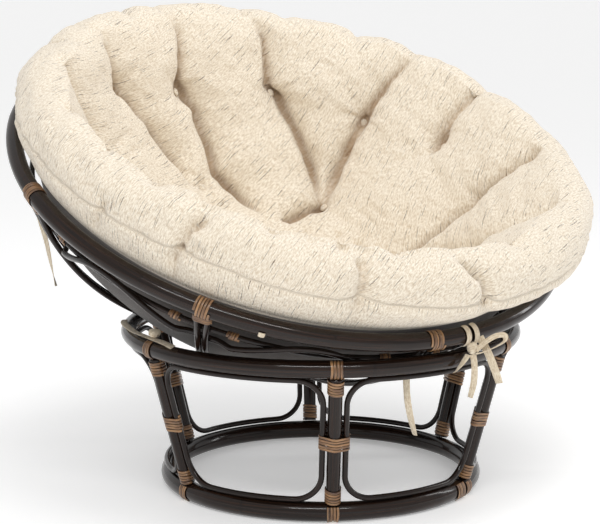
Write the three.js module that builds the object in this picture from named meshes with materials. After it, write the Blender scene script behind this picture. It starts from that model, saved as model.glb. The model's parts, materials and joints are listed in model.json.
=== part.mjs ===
// A papasan chair: a round rattan bowl, tilted forwards, that rests loose on a rattan stand and
// holds one round tufted cushion. Millimetres, +Z up, the front of the chair towards -Y.
import * as THREE from 'three';

// Driving sizes of the stand
const lowerRingRadius = 288;
const lowerPole = 36;
const upperRingRadius = 362;
const upperRingHeight = 292;
const upperPole = 32;
const postCount = 6;
const postPole = 26;
const caneDiameter = 11;
const caneToPost = 20.5;
const caneCornerRadius = 49;

// Driving sizes of the bowl
const rimRadius = 530;
const rimPole = 33;
const bowlDepth = 338.2;
const ribDiameter = 12;
const ribsOutsideRim = 4.1;
const ribPairs = 8;
const ribSpreadAtRim = 10;
const ribSpreadInPair = 6.5;
const ribLoopRadius = 20;
const hoopDiameter = 11;
const hoopDepth = 64;
const petalLowDepth = 99;
const petalHighDepth = 36;
const bottomHoopRadius = 105;
const rimToRing = 31.8;
const bowlTurn = THREE.MathUtils.degToRad(-1.8);

// Driving sizes of the lashings
const peelWidth = 4.8;
const peelThickness = 1.5;
const peelPitch = 5.5;
const passGap = 1.4;
const lashingTurns = 5;

// Driving sizes of the cushion
const rollRadius = 65;
const rollInset = 32;
const rollRise = 74;
const rollRiseToFront = 19;
const rollDropToRight = 9;
const rollShift = 20;
const cushionThickness = 131;
const channelDepth = 15;
const tuftDepth = 24;
const tuftReach = 42;
const tuftRadiusShare = 0.69;
const innerTuftRadiusShare = 0.405;
const flankInset = 16;

// Driving sizes of the ties, as rolled up tapes
const tieDiameter = 5;
const knotDiameter = 21;

// Clearances: between pieces that touch, round loosely laid canes, and of the cushion over the
// rim's lashings
const gap = 0.3;
const looseGap = 0.9;
const softGap = 3.2;

// Finishes
const lacquer = { color: 0x1d120d, roughness: 0.16, metalness: 0 };
const peel = { color: 0x9a6a3a, roughness: 0.55, metalness: 0 };
const cloth = { color: 0xe9dcc4, roughness: 0.95, metalness: 0 };

// Faces of each kind of section, and steps along each kind of path
const poleSides = 12;
const rimSides = 10;
const caneSides = 6;
const ringSteps = 36;
const rimSteps = 48;
const hoopSteps = 32;
const bottomHoopSteps = 16;
const turnSteps = 8;
const postTurnSteps = 7;
const lobeSteps = 4;

const vector = (x, y, z) => new THREE.Vector3(x, y, z);
const fullTurn = 2 * Math.PI;
const half = (length) => length / 2;

// Radius of a polygon's corners, for a polygon whose flats are `radius` from its centre.
const cornerRadius = (radius, sides) => radius / Math.cos(Math.PI / sides);

// A horizontal direction; azimuth 0 is the front and a quarter turn is +X.
const heading = (azimuth) => vector(Math.sin(azimuth), -Math.cos(azimuth), 0);

const chair = new THREE.Group();
const stand = new THREE.Group();
const bowl = new THREE.Group();
chair.add(stand, bowl);

// Names a geometry as a piece of the chair, in its group and finish.
function addPiece(group, name, geometry, finish) {
  const mesh = new THREE.Mesh(geometry, new THREE.MeshStandardMaterial(finish));
  mesh.name = name;
  group.add(mesh);
  return mesh;
}

// A closed mesh from its points and triangles, turned round if its faces point inwards.
function closedMesh(points, triangles) {
  let volume = 0;
  const cross = new THREE.Vector3();
  for (const [a, b, c] of triangles) {
    volume += points[a].dot(cross.crossVectors(points[b], points[c]));
  }
  const facing = volume < 0 ? triangles.map(([a, b, c]) => [a, c, b]) : triangles;
  const geometry = new THREE.BufferGeometry();
  const coordinates = points.flatMap((point) => point.toArray());
  geometry.setAttribute('position', new THREE.Float32BufferAttribute(coordinates, 3));
  geometry.setIndex(facing.flat());
  geometry.computeVertexNormals();
  return geometry;
}

// The section's copies along a path: `outs` is the direction of the section's second axis there.
function sectionRings(path, outs, section, closed) {
  const last = path.length - 1;
  return path.map((point, index) => {
    const before = path[closed ? (index + last) % path.length : Math.max(index - 1, 0)];
    const after = path[closed ? (index + 1) % path.length : Math.min(index + 1, last)];
    const tangent = after.clone().sub(before).normalize();
    const side = tangent.clone().cross(outs[index]).normalize();
    const out = side.clone().cross(tangent).normalize();
    return section.map(([across, up]) =>
      point.clone().addScaledVector(side, across).addScaledVector(out, up));
  });
}

// Joins rings of points into one tube, with flat ends or as a closed loop.
function ringsToMesh(rings, closed) {
  const count = rings[0].length;
  const triangles = [];
  const spans = closed ? rings.length : rings.length - 1;
  for (let ring = 0; ring < spans; ring++) {
    const next = (ring + 1) % rings.length;
    for (let corner = 0; corner < count; corner++) {
      const beside = (corner + 1) % count;
      const [a, b] = [ring * count + corner, ring * count + beside];
      const [c, d] = [next * count + corner, next * count + beside];
      triangles.push([a, b, d], [a, d, c]);
    }
  }
  if (!closed) {
    const end = (rings.length - 1) * count;
    for (let corner = 1; corner < count - 1; corner++) {
      triangles.push([0, corner + 1, corner], [end, end + corner, end + corner + 1]);
    }
  }
  return closedMesh(rings.flat(), triangles);
}

const sweep = (path, outs, section, closed = false) =>
  ringsToMesh(sectionRings(path, outs, section, closed), closed);

// A regular polygon round a pole's centre, with a flat facing straight down its second axis.
function polygon(radiusOfCorners, sides) {
  return Array.from({ length: sides }, (_, side) => {
    const angle = (side + 0.5) * fullTurn / sides - Math.PI / 2;
    return [radiusOfCorners * Math.cos(angle), radiusOfCorners * Math.sin(angle)];
  });
}

// A pole bent to a level circle, closed on itself, at a height.
function ringGeometry(radius, pole, sides, steps, height, firstCorner = 0) {
  const outline = polygon(cornerRadius(half(pole), sides), sides)
    .map(([across, up]) => new THREE.Vector2(radius + across, up + height));
  const geometry = new THREE.LatheGeometry([...outline, outline[0]], steps);
  return geometry.rotateX(Math.PI / 2).rotateZ(firstCorner);
}

// The peel's section: its flat side lies on the pole, its ridge stands out.
const peelSection = [[-half(peelWidth), 0], [half(peelWidth), 0], [0, peelThickness]];

// Least gap of a strand to itself, over points of its surface half a turn or more apart.
function leastGap(rings) {
  const surface = rings.map((ring, index) => {
    const next = rings[Math.min(index + 1, rings.length - 1)];
    const middles = ring.map((point, corner) => point.clone().lerp(next[corner], 0.5));
    return [...ring, ...middles];
  });
  let least = Infinity;
  for (let one = 0; one < surface.length; one++) {
    for (let two = one + Math.floor(half(postTurnSteps)); two < surface.length; two++) {
      for (const a of surface[one]) {
        for (const b of surface[two]) least = Math.min(least, a.distanceTo(b));
      }
    }
  }
  return least;
}

// One unbroken strand of peel along a path, with its least gap to itself printed.
function addStrand(group, name, path, outs) {
  const rings = sectionRings(path, outs, peelSection, false);
  console.log(`${name}: least gap to itself ${leastGap(rings).toFixed(2)} mm`);
  addPiece(group, name, ringsToMesh(rings, false), peel);
}

// The turns of a winding: for each step, the corner of the outline that it passes and its
// distance along the pole, from -1/2 to 1/2 of the winding's whole length.
function windingSteps(corners, turns) {
  const total = corners * turns;
  return Array.from({ length: total + 1 }, (_, step) =>
    ({ corner: step % corners, along: (step / total - 0.5) * turns * peelPitch }));
}

// The stand

// A frame on the slope between the two rings: `along` runs from the lower ring's centre line to
// the upper one's, at an azimuth, and `out` is square to the slope.
const lowerRingHeight = half(lowerPole);
const slopeRun = upperRingRadius - lowerRingRadius;
const slopeRise = upperRingHeight - lowerRingHeight;
const slopeLength = Math.hypot(slopeRun, slopeRise);

const slopeRadius = (along) => lowerRingRadius + slopeRun * along / slopeLength;

function slopePoint(azimuth, along) {
  return heading(azimuth).multiplyScalar(slopeRadius(along))
    .setZ(lowerRingHeight + slopeRise * along / slopeLength);
}

function slopeAxes(azimuth) {
  const outwards = heading(azimuth);
  const up = outwards.clone().multiplyScalar(slopeRun).setZ(slopeRise).normalize();
  const across = vector(-outwards.y, outwards.x, 0);
  return { across, up, out: across.clone().cross(up).normalize() };
}

// How far the stand's pieces stay from each ring's centre line.
const clearOfLowerRing = cornerRadius(half(lowerPole), poleSides) + gap;
const clearOfUpperRing = cornerRadius(half(upperPole), poleSides) + gap;
const postAzimuths = Array.from({ length: postCount }, (_, post) =>
  (post + 0.5) * fullTurn / postCount);
const bayAngle = fullTurn / postCount;

function addRings() {
  addPiece(stand, 'lower_ring',
    ringGeometry(lowerRingRadius, lowerPole, poleSides, ringSteps, lowerRingHeight), lacquer);
  addPiece(stand, 'upper_ring',
    ringGeometry(upperRingRadius, upperPole, poleSides, ringSteps, upperRingHeight), lacquer);
}

const postCorner = cornerRadius(half(postPole), poleSides);

function addPost(azimuth, number) {
  const { out } = slopeAxes(azimuth);
  const path = [
    slopePoint(azimuth, clearOfLowerRing),
    slopePoint(azimuth, slopeLength - clearOfUpperRing),
  ];
  const section = polygon(postCorner, poleSides);
  addPiece(stand, `post_${number}`, sweep(path, [out, out], section), lacquer);
}

// A brace loop fills the bay between two posts. Its lower run lies on the lower ring, its upper
// run touches the upper ring from below, and its sides run beside the posts.
const caneRadius = half(caneDiameter);
const braceLow = clearOfLowerRing + caneRadius;
const braceHigh = slopeLength - clearOfUpperRing - caneRadius;
const cornerShares = [0.06, 0.3, 0.55, 0.8, 0.97];
const runShares = [-0.66, -0.22, 0.22, 0.66];

function braceOutline() {
  const quarter = Math.PI / 2;
  const corner = cornerShares.map((share) => ({
    inset: caneCornerRadius * (1 - Math.sin(share * quarter)),
    rise: caneCornerRadius * (1 - Math.cos(share * quarter)),
  }));
  const upRight = corner.map(({ inset, rise }) => ({ side: 1, inset, along: braceLow + rise }));
  const topRight = corner.toReversed()
    .map(({ inset, rise }) => ({ side: 1, inset, along: braceHigh - rise }));
  const mirrored = (points) => points.toReversed().map((point) => ({ ...point, side: -1 }));
  const run = (along, shares) => shares.map((share) => ({ share, along }));
  return [
    ...run(braceLow, runShares),
    ...upRight,
    ...topRight,
    ...run(braceHigh, runShares.toReversed()),
    ...mirrored(topRight),
    ...mirrored(upRight),
  ];
}

function addBrace(azimuth, number) {
  const path = braceOutline().map(({ side, inset, share, along }) => {
    const radius = slopeRadius(along);
    const sideAngle = half(bayAngle) - Math.asin(caneToPost / radius);
    const cornerAngle = sideAngle - caneCornerRadius / radius;
    const angle = side ? side * (sideAngle - inset / radius) : share * cornerAngle;
    return slopePoint(azimuth + angle, along);
  });
  const outs = path.map((point) => slopeAxes(Math.atan2(point.x, -point.y)).out);
  const section = polygon(caneRadius, caneSides);
  addPiece(stand, `brace_loop_${number}`, sweep(path, outs, section, true), lacquer);
}

// The turns of peel round a bare post, as points across and out from its axis.
const peelOnPost = (postCorner + gap) / Math.cos(Math.PI / postTurnSteps);
const postOutline = Array.from({ length: postTurnSteps }, (_, step) => {
  const angle = Math.PI / 2 + step * fullTurn / postTurnSteps;
  return [peelOnPost * Math.cos(angle), peelOnPost * Math.sin(angle)];
});

// The turns of peel round a post and the canes beside it: an oval of eight corners. The canes
// follow the rings' curve, so they lie a little behind the post's own plane.
const caneSetBack = caneToPost ** 2 / (2 * slopeRadius(half(slopeLength)));
const ovalSide = caneToPost + caneRadius + gap;
const ovalFront = postCorner + gap + caneSetBack;
const ovalShares = [
  [0.24, 1], [-0.24, 1], [-1, 0.3], [-1, -0.3], [-0.24, -1], [0.24, -1], [1, -0.3], [1, 0.3],
];
const ovalOutline = ovalShares
  .map(([sideShare, frontShare]) => [sideShare * ovalSide, frontShare * ovalFront]);

// The turns round a post, as a path and the directions of its ridge.
function postTurns(azimuth, middle, outline, flip) {
  const { across, up, out } = slopeAxes(azimuth);
  const steps = windingSteps(outline.length, lashingTurns);
  const place = ({ corner, along }) => slopePoint(azimuth, middle + flip * along)
    .addScaledVector(across, outline[corner][0]).addScaledVector(out, outline[corner][1]);
  const ridge = ({ corner }) => across.clone().multiplyScalar(outline[corner][0])
    .addScaledVector(out, outline[corner][1]).normalize();
  return { path: steps.map(place), outs: steps.map(ridge), axes: { across, up, out } };
}

// Passes of peel over the outer side of a ring, one beside the other, joined at their ends.
const passCount = 3;
const passSpacing = peelWidth + passGap;
const passStep = THREE.MathUtils.degToRad(43);

function ringPasses(centre, axes, flip, clear, first, spans) {
  const reach = clear / Math.cos(half(passStep));
  const path = [];
  const outs = [];
  for (let pass = 0; pass < passCount; pass++) {
    for (let step = 0; step <= spans; step++) {
      const angle = first + passStep * (pass % 2 ? spans - step : step);
      const out = axes.out.clone().multiplyScalar(Math.cos(angle))
        .addScaledVector(axes.up, flip * Math.sin(angle));
      const across = (pass - half(passCount - 1)) * passSpacing;
      path.push(centre.clone().addScaledVector(axes.across, across).addScaledVector(out, reach));
      outs.push(out);
    }
  }
  return { path, outs };
}

const windingLength = lashingTurns * peelPitch;
const upperPassSpans = 3;
const lowerPassSpans = 2;
const firstUpperPass = THREE.MathUtils.degToRad(-40);
const firstLowerPass = THREE.MathUtils.degToRad(-52);

function addPostLashings(azimuth, number) {
  const topMiddle = slopeLength - clearOfUpperRing - half(windingLength + peelPitch);
  const top = postTurns(azimuth, topMiddle, postOutline, 1);
  const over = ringPasses(slopePoint(azimuth, slopeLength), top.axes, 1, clearOfUpperRing,
    firstUpperPass, upperPassSpans);
  addStrand(stand, `top_lashing_${number}`, [...top.path, ...over.path],
    [...top.outs, ...over.outs]);

  const oval = postTurns(azimuth, half(slopeLength), ovalOutline, 1);
  addStrand(stand, `middle_lashing_${number}`, oval.path, oval.outs);

  const lowMiddle = clearOfLowerRing + half(windingLength + peelPitch);
  const low = postTurns(azimuth, lowMiddle, postOutline, -1);
  const under = ringPasses(slopePoint(azimuth, 0), low.axes, -1, clearOfLowerRing,
    firstLowerPass, lowerPassSpans);
  addStrand(stand, `bottom_lashing_${number}`, [...low.path, ...under.path],
    [...low.outs, ...under.outs]);
}

// The wrap over the lower ring's joint, beside a post: passes of peel on the outer side of the
// pole, between the brace loop above and the floor below.
const spliceAzimuth = THREE.MathUtils.degToRad(24);
const spliceFirst = THREE.MathUtils.degToRad(-48);
const spliceSpans = 2;
const splicePasses = 4;

function addSplice() {
  const centre = vector(0, 0, lowerRingHeight);
  const reach = clearOfLowerRing / Math.cos(half(passStep));
  const path = [];
  const outs = [];
  for (let pass = 0; pass < splicePasses; pass++) {
    const shift = (pass - half(splicePasses - 1)) * passSpacing / lowerRingRadius;
    const outwards = heading(spliceAzimuth + shift);
    for (let step = 0; step <= spliceSpans; step++) {
      const angle = spliceFirst + passStep * (pass % 2 ? spliceSpans - step : step);
      const out = outwards.clone().multiplyScalar(Math.cos(angle)).setZ(Math.sin(angle));
      path.push(centre.clone().addScaledVector(outwards, lowerRingRadius)
        .addScaledVector(out, reach));
      outs.push(out);
    }
  }
  addStrand(stand, 'lower_ring_splice_wrap', path, outs);
}

// The bowl, in a frame of its own: the centre of its sphere at the origin and its axis along +Z.
// The rim is a level circle of that sphere, and the ribs run down just outside it.
const rimLine = (rimRadius ** 2 + bowlDepth ** 2) / (2 * bowlDepth);
const rimDrop = rimLine - bowlDepth;
const ribLine = rimLine + ribsOutsideRim;
const ribFlat = half(ribDiameter) * Math.cos(Math.PI / caneSides);
const ringSag = upperRingRadius * (1 - Math.cos(Math.PI / ringSteps));
const sagToBowl = ringSag * upperRingRadius / (ribLine + half(ribDiameter) + half(upperPole));
const bowlToRing = ribLine + ribFlat + gap + sagToBowl + cornerRadius(half(upperPole), poleSides);
const sphereHeight = upperRingHeight + Math.sqrt(bowlToRing ** 2 - upperRingRadius ** 2);
const hoopLine = ribLine - ribFlat - looseGap - half(hoopDiameter);
const caneFlat = half(hoopDiameter) * Math.cos(Math.PI / caneSides);
const petalShares = [-0.05, 0.05, 0.18, 0.34, 0.5, 0.66, 0.82];
const widestPetalStep = fullTurn / ribPairs / (petalShares.length - 1);
const petalSag = ribLine * (1 - Math.cos(half(widestPetalStep)));
const petalLine = hoopLine + half(hoopDiameter) + caneFlat + petalSag + 2 * gap;
const ribAzimuths = Array.from({ length: ribPairs }, (_, pair) =>
  bowlTurn + pair * fullTurn / ribPairs);

// A point of the bowl: `line` from the sphere's centre, `polar` up from its lowest point.
function bowlPoint(azimuth, line, polar) {
  return heading(azimuth).multiplyScalar(line * Math.sin(polar)).setZ(-line * Math.cos(polar));
}

const polarAtDepth = (depth, line) => Math.acos((rimDrop + depth) / line);

function addRim() {
  addPiece(bowl, 'rim',
    ringGeometry(rimRadius, rimPole, rimSides, rimSteps, -rimDrop, bowlTurn), lacquer);
}

function addHoops() {
  const polar = polarAtDepth(hoopDepth, hoopLine);
  const middle = ringGeometry(hoopLine * Math.sin(polar), hoopDiameter, caneSides, hoopSteps,
    -hoopLine * Math.cos(polar), bowlTurn);
  addPiece(bowl, 'middle_hoop', middle, lacquer);
  const drop = Math.sqrt(hoopLine ** 2 - bottomHoopRadius ** 2);
  const bottom = ringGeometry(bottomHoopRadius, hoopDiameter, caneSides, bottomHoopSteps,
    -drop, bowlTurn);
  addPiece(bowl, 'bottom_hoop', bottom, lacquer);
}

// A pair of ribs is one cane: down from the rim, round a bend at the bottom and up again.
const rimPolar = Math.asin(rimRadius / rimLine);
const lashedRim = cornerRadius(half(rimPole), rimSides) + peelThickness + looseGap;
const ribTop = rimPolar - Math.asin(lashedRim / ribLine);
const ribNeck = polarAtDepth(petalLowDepth, ribLine);
const splayShare = 2.3;
const ribSplay = Math.asin(splayShare * bottomHoopRadius / ribLine);
const ribBend = Math.asin(bottomHoopRadius / ribLine);
const legSteps = 8;
const bendSteps = 5;

function ribSpread(polar) {
  const opening = THREE.MathUtils.smoothstep(polar, ribNeck, ribTop);
  const splay = 1 - THREE.MathUtils.smoothstep(polar, ribBend, ribSplay);
  return ribSpreadInPair + (ribSpreadAtRim - ribSpreadInPair) * opening
    + (ribLoopRadius - ribSpreadInPair) * splay;
}

function ribPoint(azimuth, polar, spread) {
  const across = heading(azimuth + Math.PI / 2).multiplyScalar(spread);
  return bowlPoint(azimuth, ribLine, polar).add(across).setLength(ribLine);
}

function addRibPair(azimuth, number) {
  const atHoop = polarAtDepth(hoopDepth, hoopLine);
  const leg = [{ polar: ribTop, spread: ribSpread(ribTop) }];
  for (let step = 0; step < legSteps; step++) {
    const polar = THREE.MathUtils.lerp(atHoop, ribBend, step / (legSteps - 1));
    leg.push({ polar, spread: ribSpread(polar) });
  }
  const bend = [];
  for (let step = 1; step < bendSteps; step++) {
    const angle = Math.PI * step / bendSteps;
    bend.push({
      polar: ribBend - ribLoopRadius * Math.sin(angle) / ribLine,
      spread: ribLoopRadius * Math.cos(angle),
    });
  }
  const back = leg.toReversed().map(({ polar, spread }) => ({ polar, spread: -spread }));
  const path = [...leg, ...bend, ...back]
    .map(({ polar, spread }) => ribPoint(azimuth, polar, spread));
  const outs = path.map((point) => point.clone().normalize());
  addPiece(bowl, `rib_pair_${number}`, sweep(path, outs, polygon(half(ribDiameter), caneSides)),
    lacquer);
}

const petalPeak = 1.4;
const petalLeaves = 0.03;
const petalIsOut = 0.2;

// The petal cane: it dips inside each rib pair and rises outside the middle hoop to the rim.
function addPetals() {
  const path = ribAzimuths.flatMap((start) => petalShares.map((share) => {
    const wave = half(1 - Math.cos(share * fullTurn));
    const depth = THREE.MathUtils.lerp(petalLowDepth, petalHighDepth, wave ** petalPeak);
    const outside = THREE.MathUtils.smoothstep(wave, petalLeaves, petalIsOut);
    const line = THREE.MathUtils.lerp(hoopLine - gap, petalLine, outside);
    return bowlPoint(start + share * fullTurn / ribPairs, line, polarAtDepth(depth, line));
  }));
  const outs = path.map((point) => point.clone().normalize());
  addPiece(bowl, 'petal_cane', sweep(path, outs, polygon(half(hoopDiameter), caneSides), true),
    lacquer);
}

// A lashing of peel round the rim over a rib pair, with one flat of each turn facing the ribs.
function addRimLashing(azimuth, number) {
  const reach = (cornerRadius(half(rimPole), rimSides) + gap) / Math.cos(Math.PI / turnSteps);
  const towardsRib = Math.PI + rimPolar;
  const path = [];
  const outs = [];
  for (const { corner, along } of windingSteps(turnSteps, lashingTurns)) {
    const angle = towardsRib + (corner + 0.5) * fullTurn / turnSteps;
    const outwards = heading(azimuth + along / rimRadius);
    const out = outwards.clone().multiplyScalar(Math.cos(angle)).setZ(Math.sin(angle));
    path.push(outwards.clone().multiplyScalar(rimRadius).setZ(-rimDrop)
      .addScaledVector(out, reach));
    outs.push(out);
  }
  addStrand(bowl, `rim_lashing_${number}`, path, outs);
}

// The cushion: a thick outer roll over the rim round a deep hollow, quilted by channels that
// run out from the middle, with a ring of tufts at the roll's foot and another further in.
const channelDegrees = [-162, -132, -109, -79, -56, -17, 12, 45, 78, 106, 127, 152, 178];
const channels = channelDegrees.map(THREE.MathUtils.degToRad);

// Azimuths of the mesh: each lobe between two channels is cut into the same number of steps.
const cushionAzimuths = channels.flatMap((start, index) => {
  const end = index + 1 < channels.length ? channels[index + 1] : channels[0] + fullTurn;
  return Array.from({ length: lobeSteps }, (_, step) =>
    ({ azimuth: start + (end - start) * step / lobeSteps, lobe: 2 * step / lobeSteps - 1 }));
});

const cushionLine = hoopLine - half(hoopDiameter) - 2 * gap;
const polarDegrees = [10.5, 24, 38, 50];
const wrapDegrees = [160, 120, 80];
const rollDegrees = [-25, 5, 35, 64, 90, 116];
const hollowRadius = cushionLine - cushionThickness;
const rollCentreRadius = rimRadius - rollInset;
const hollowDegrees = [60, 52.5, 45, 36, 27, 14];
const flankShares = [[0.928, -0.2], [0.94, -0.05]];
const rimKeep = cornerRadius(half(rimPole) + gap, turnSteps) + peelThickness + softGap;

// How much of a channel's depth the cushion has beside the rim, at least elsewhere, and how fast
// that grows towards the top of the roll.
const sideQuiltShare = 0.1;
const leastQuiltShare = 0.25;
const topQuiltShare = 1.4;

// A point under the roll, seen from the rim at an angle: on the roll, or else clear of the rim.
function wrapPoint(angle, rollAcross, rollUp) {
  const [across, up] = [Math.cos(angle), Math.sin(angle)];
  const along = across * rollAcross + up * rollUp;
  const rest = along ** 2 - rollAcross ** 2 - rollUp ** 2 + rollRadius ** 2;
  const reach = Math.max(rimKeep, rest > 0 ? along - Math.sqrt(rest) : 0);
  return {
    radius: rimRadius + across * reach,
    height: up * reach,
    quilt: sideQuiltShare,
    out: [0, -1],
  };
}

// One profile of the cushion, from under its middle, out, over the roll and in again: each point
// is its radius, its height over the rim's plane and the direction in which it is quilted.
function cushionProfile(azimuth) {
  const roll = rollRise + rollRiseToFront * Math.cos(azimuth) - rollDropToRight * Math.sin(azimuth);
  const shifted = rollCentreRadius + rollShift * Math.sin(azimuth);
  const under = polarDegrees.map(THREE.MathUtils.degToRad).map((polar) => ({
    radius: cushionLine * Math.sin(polar),
    height: rimDrop - cushionLine * Math.cos(polar),
    quilt: 0,
    out: [Math.sin(polar), -Math.cos(polar)],
  }));
  const flank = flankShares.map(([share, rise]) => ({
    radius: share * rimRadius - flankInset,
    height: rise * rimDrop,
    quilt: sideQuiltShare,
    out: [1, 0],
  }));
  const wrap = wrapDegrees.map(THREE.MathUtils.degToRad)
    .map((angle) => wrapPoint(angle, shifted - rimRadius, roll));
  const over = rollDegrees.map(THREE.MathUtils.degToRad).map((angle) => ({
    radius: shifted + rollRadius * Math.cos(angle),
    height: roll + rollRadius * Math.sin(angle),
    quilt: THREE.MathUtils.clamp(half(1 + topQuiltShare * Math.sin(angle)), leastQuiltShare, 1),
    out: [Math.cos(angle), Math.sin(angle)],
  }));
  const hollow = hollowDegrees.map(THREE.MathUtils.degToRad).map((polar) => ({
    radius: hollowRadius * Math.sin(polar),
    height: rimDrop - hollowRadius * Math.cos(polar),
    quilt: THREE.MathUtils.clamp(polar, leastQuiltShare, 1),
    out: [-Math.sin(polar), Math.cos(polar)],
  }));
  return [...under, ...flank, ...wrap, ...over, ...hollow];
}

// Moves a point of the profile out of the space that the rim and its lashings fill.
function clearOfRim({ radius, height }) {
  const [across, up] = [radius - rimRadius, height];
  const share = Math.max(1, rimKeep / Math.hypot(across, up));
  return [rimRadius + across * share, up * share];
}

// How wide the tufts pull the channel in, as a share of half a lobe, and their two circles.
const tuftWidthShare = 0.625;
const tuftRadius = tuftRadiusShare * rimRadius;
const innerTuftRadius = innerTuftRadiusShare * rimRadius;

// A point of the cushion: the profile's point, sunk towards the channels on both sides of its
// lobe and, on the upper side, towards the tufts along them.
function cushionPoint({ azimuth, lobe }, point) {
  const sunk = channelDepth * point.quilt * (1 - Math.sqrt(1 - lobe ** 2));
  const nearChannel = Math.max(0, 1 - (1 - Math.abs(lobe)) / tuftWidthShare);
  const bell = (centre) => Math.exp(-(((point.radius - centre) / tuftReach) ** 2));
  const onTop = point.out[0] < 0 ? 1 : 0;
  const tuft = tuftDepth * nearChannel * onTop * (bell(tuftRadius) + half(bell(innerTuftRadius)));
  const [radius, height] = clearOfRim({
    radius: point.radius - (sunk + tuft) * point.out[0],
    height: point.height - (sunk + tuft) * point.out[1],
  });
  return heading(azimuth).multiplyScalar(radius).setZ(height - rimDrop);
}

function addCushion() {
  const columns = cushionAzimuths.map((place) =>
    cushionProfile(place.azimuth).map((point) => cushionPoint(place, point)));
  const count = columns[0].length;
  const points = columns.flat();
  const bottom = points.length;
  const top = bottom + 1;
  points.push(vector(0, 0, -cushionLine), vector(0, 0, -hollowRadius - half(tuftDepth)));
  const triangles = [];
  columns.forEach((column, index) => {
    const [here, next] = [index * count, ((index + 1) % columns.length) * count];
    triangles.push([bottom, here, next], [top, next + count - 1, here + count - 1]);
    for (let row = 0; row < count - 1; row++) {
      const [a, b] = [here + row, next + row];
      triangles.push([a, a + 1, b + 1], [a, b + 1, b]);
    }
  });
  addPiece(bowl, 'cushion', closedMesh(points, triangles), cloth);
}

// The ties: fabric tapes that hang free from the rim, the middle hoop and the upper ring.
const tieRoutes = {
  tie_front_tail: [
    [57, -388.2, 302.8], [57.5, -391, 290], [57, -393, 272], [54, -394.5, 252], [47, -394, 228],
  ],
  tie_front_wide_tail: [
    [74.5, -384, 331.5], [76.5, -390.5, 322], [81, -400, 305], [87, -404, 288],
    [94, -407, 268], [100, -409, 250],
  ],
  tie_left_tail: [
    [-489.2, 194.5, 536], [-487.5, 194, 522], [-483, 193, 500], [-477, 189, 470],
    [-472, 183, 432], [-468, 172, 392],
  ],
  tie_ring_left: [
    [-317, 191, 308.8], [-336, 160, 313], [-351, 126, 315], [-365, 80, 316], [-371, 52, 316],
    [-374, 20, 316.5], [-374, -20, 316], [-371, -52, 314.5], [-366, -78, 310],
  ],
  tie_ring_front_tail: [
    [-45.5, -339.4, 291], [-45, -334, 276], [-44, -330.5, 258], [-40, -329, 222],
    [-32, -329, 186], [-23, -329, 157],
  ],
};
const knotPlace = [57, -386.3, 313.7];
const tieStepLength = 3 * tieDiameter;
const tieSides = 8;

function addTies() {
  const outline = new THREE.Shape(polygon(half(tieDiameter), tieSides)
    .map(([across, up]) => new THREE.Vector2(across, up)));
  for (const [name, route] of Object.entries(tieRoutes)) {
    const extrudePath = new THREE.CatmullRomCurve3(route.map((point) => vector(...point)));
    const steps = Math.ceil(extrudePath.getLength() / tieStepLength);
    console.log(`${name}: ${extrudePath.getLength().toFixed(0)} mm long`);
    const geometry = new THREE.ExtrudeGeometry(outline,
      { extrudePath, steps, bevelEnabled: false });
    addPiece(chair, name, geometry, cloth);
  }
  const knot = new THREE.SphereGeometry(half(knotDiameter), turnSteps, turnSteps - 2);
  addPiece(chair, 'tie_front_knot', knot, cloth).position.set(...knotPlace);
}

addRings();
postAzimuths.forEach((azimuth, index) => {
  addPost(azimuth, index + 1);
  addBrace(azimuth + half(bayAngle), index + 1);
  addPostLashings(azimuth, index + 1);
});
addSplice();
addRim();
addHoops();
ribAzimuths.forEach((azimuth, index) => {
  addRibPair(azimuth, index + 1);
  addRimLashing(azimuth, index + 1);
});
addPetals();
addCushion();
addTies();

// The bowl is tilted forwards until its rim is this close to the upper ring, along its sphere.
const ringPolar = Math.atan2(upperRingRadius, sphereHeight - upperRingHeight);
const bowlTilt = rimPolar - ringPolar - rimToRing / rimLine;
bowl.position.set(0, 0, sphereHeight);
bowl.rotation.x = bowlTilt;

// The origin is under the middle of the whole chair, on the floor.
chair.updateMatrixWorld(true);
const extent = new THREE.Box3().setFromObject(chair, true);
const middle = extent.getCenter(new THREE.Vector3());
chair.position.set(-middle.x, -middle.y, -extent.min.z);

const model = new THREE.Group();
model.add(chair);
model.updateMatrixWorld(true);

export default model;
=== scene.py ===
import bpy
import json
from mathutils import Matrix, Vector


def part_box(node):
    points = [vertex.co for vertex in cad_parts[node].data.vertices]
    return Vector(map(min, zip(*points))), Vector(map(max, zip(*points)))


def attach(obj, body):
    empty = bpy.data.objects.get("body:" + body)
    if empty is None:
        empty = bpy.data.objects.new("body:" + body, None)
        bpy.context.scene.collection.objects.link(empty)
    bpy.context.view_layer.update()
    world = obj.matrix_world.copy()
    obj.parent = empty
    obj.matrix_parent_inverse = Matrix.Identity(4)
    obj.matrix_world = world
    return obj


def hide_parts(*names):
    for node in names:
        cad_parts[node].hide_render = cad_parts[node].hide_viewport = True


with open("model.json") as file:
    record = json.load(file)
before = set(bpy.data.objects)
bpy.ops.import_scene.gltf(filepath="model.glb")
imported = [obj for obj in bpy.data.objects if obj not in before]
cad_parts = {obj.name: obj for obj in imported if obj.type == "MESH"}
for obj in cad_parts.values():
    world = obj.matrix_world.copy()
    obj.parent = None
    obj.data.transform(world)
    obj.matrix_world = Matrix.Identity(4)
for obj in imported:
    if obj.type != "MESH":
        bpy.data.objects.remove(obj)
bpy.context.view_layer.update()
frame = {"record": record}

# A papasan chair: a lacquered rattan stand, a tilted bowl of bent canes and one quilted cushion.
# Metres, +Z up, the front of the chair towards -Y. Azimuth 0 is the front, a quarter turn is +X.
import json
import math
from collections import namedtuple

import bpy
import numpy as np
from mathutils import Matrix, Vector
from mathutils.bvhtree import BVHTree

TURN = 2 * math.pi
MM = 0.001


# Where the frame puts the chair

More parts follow.
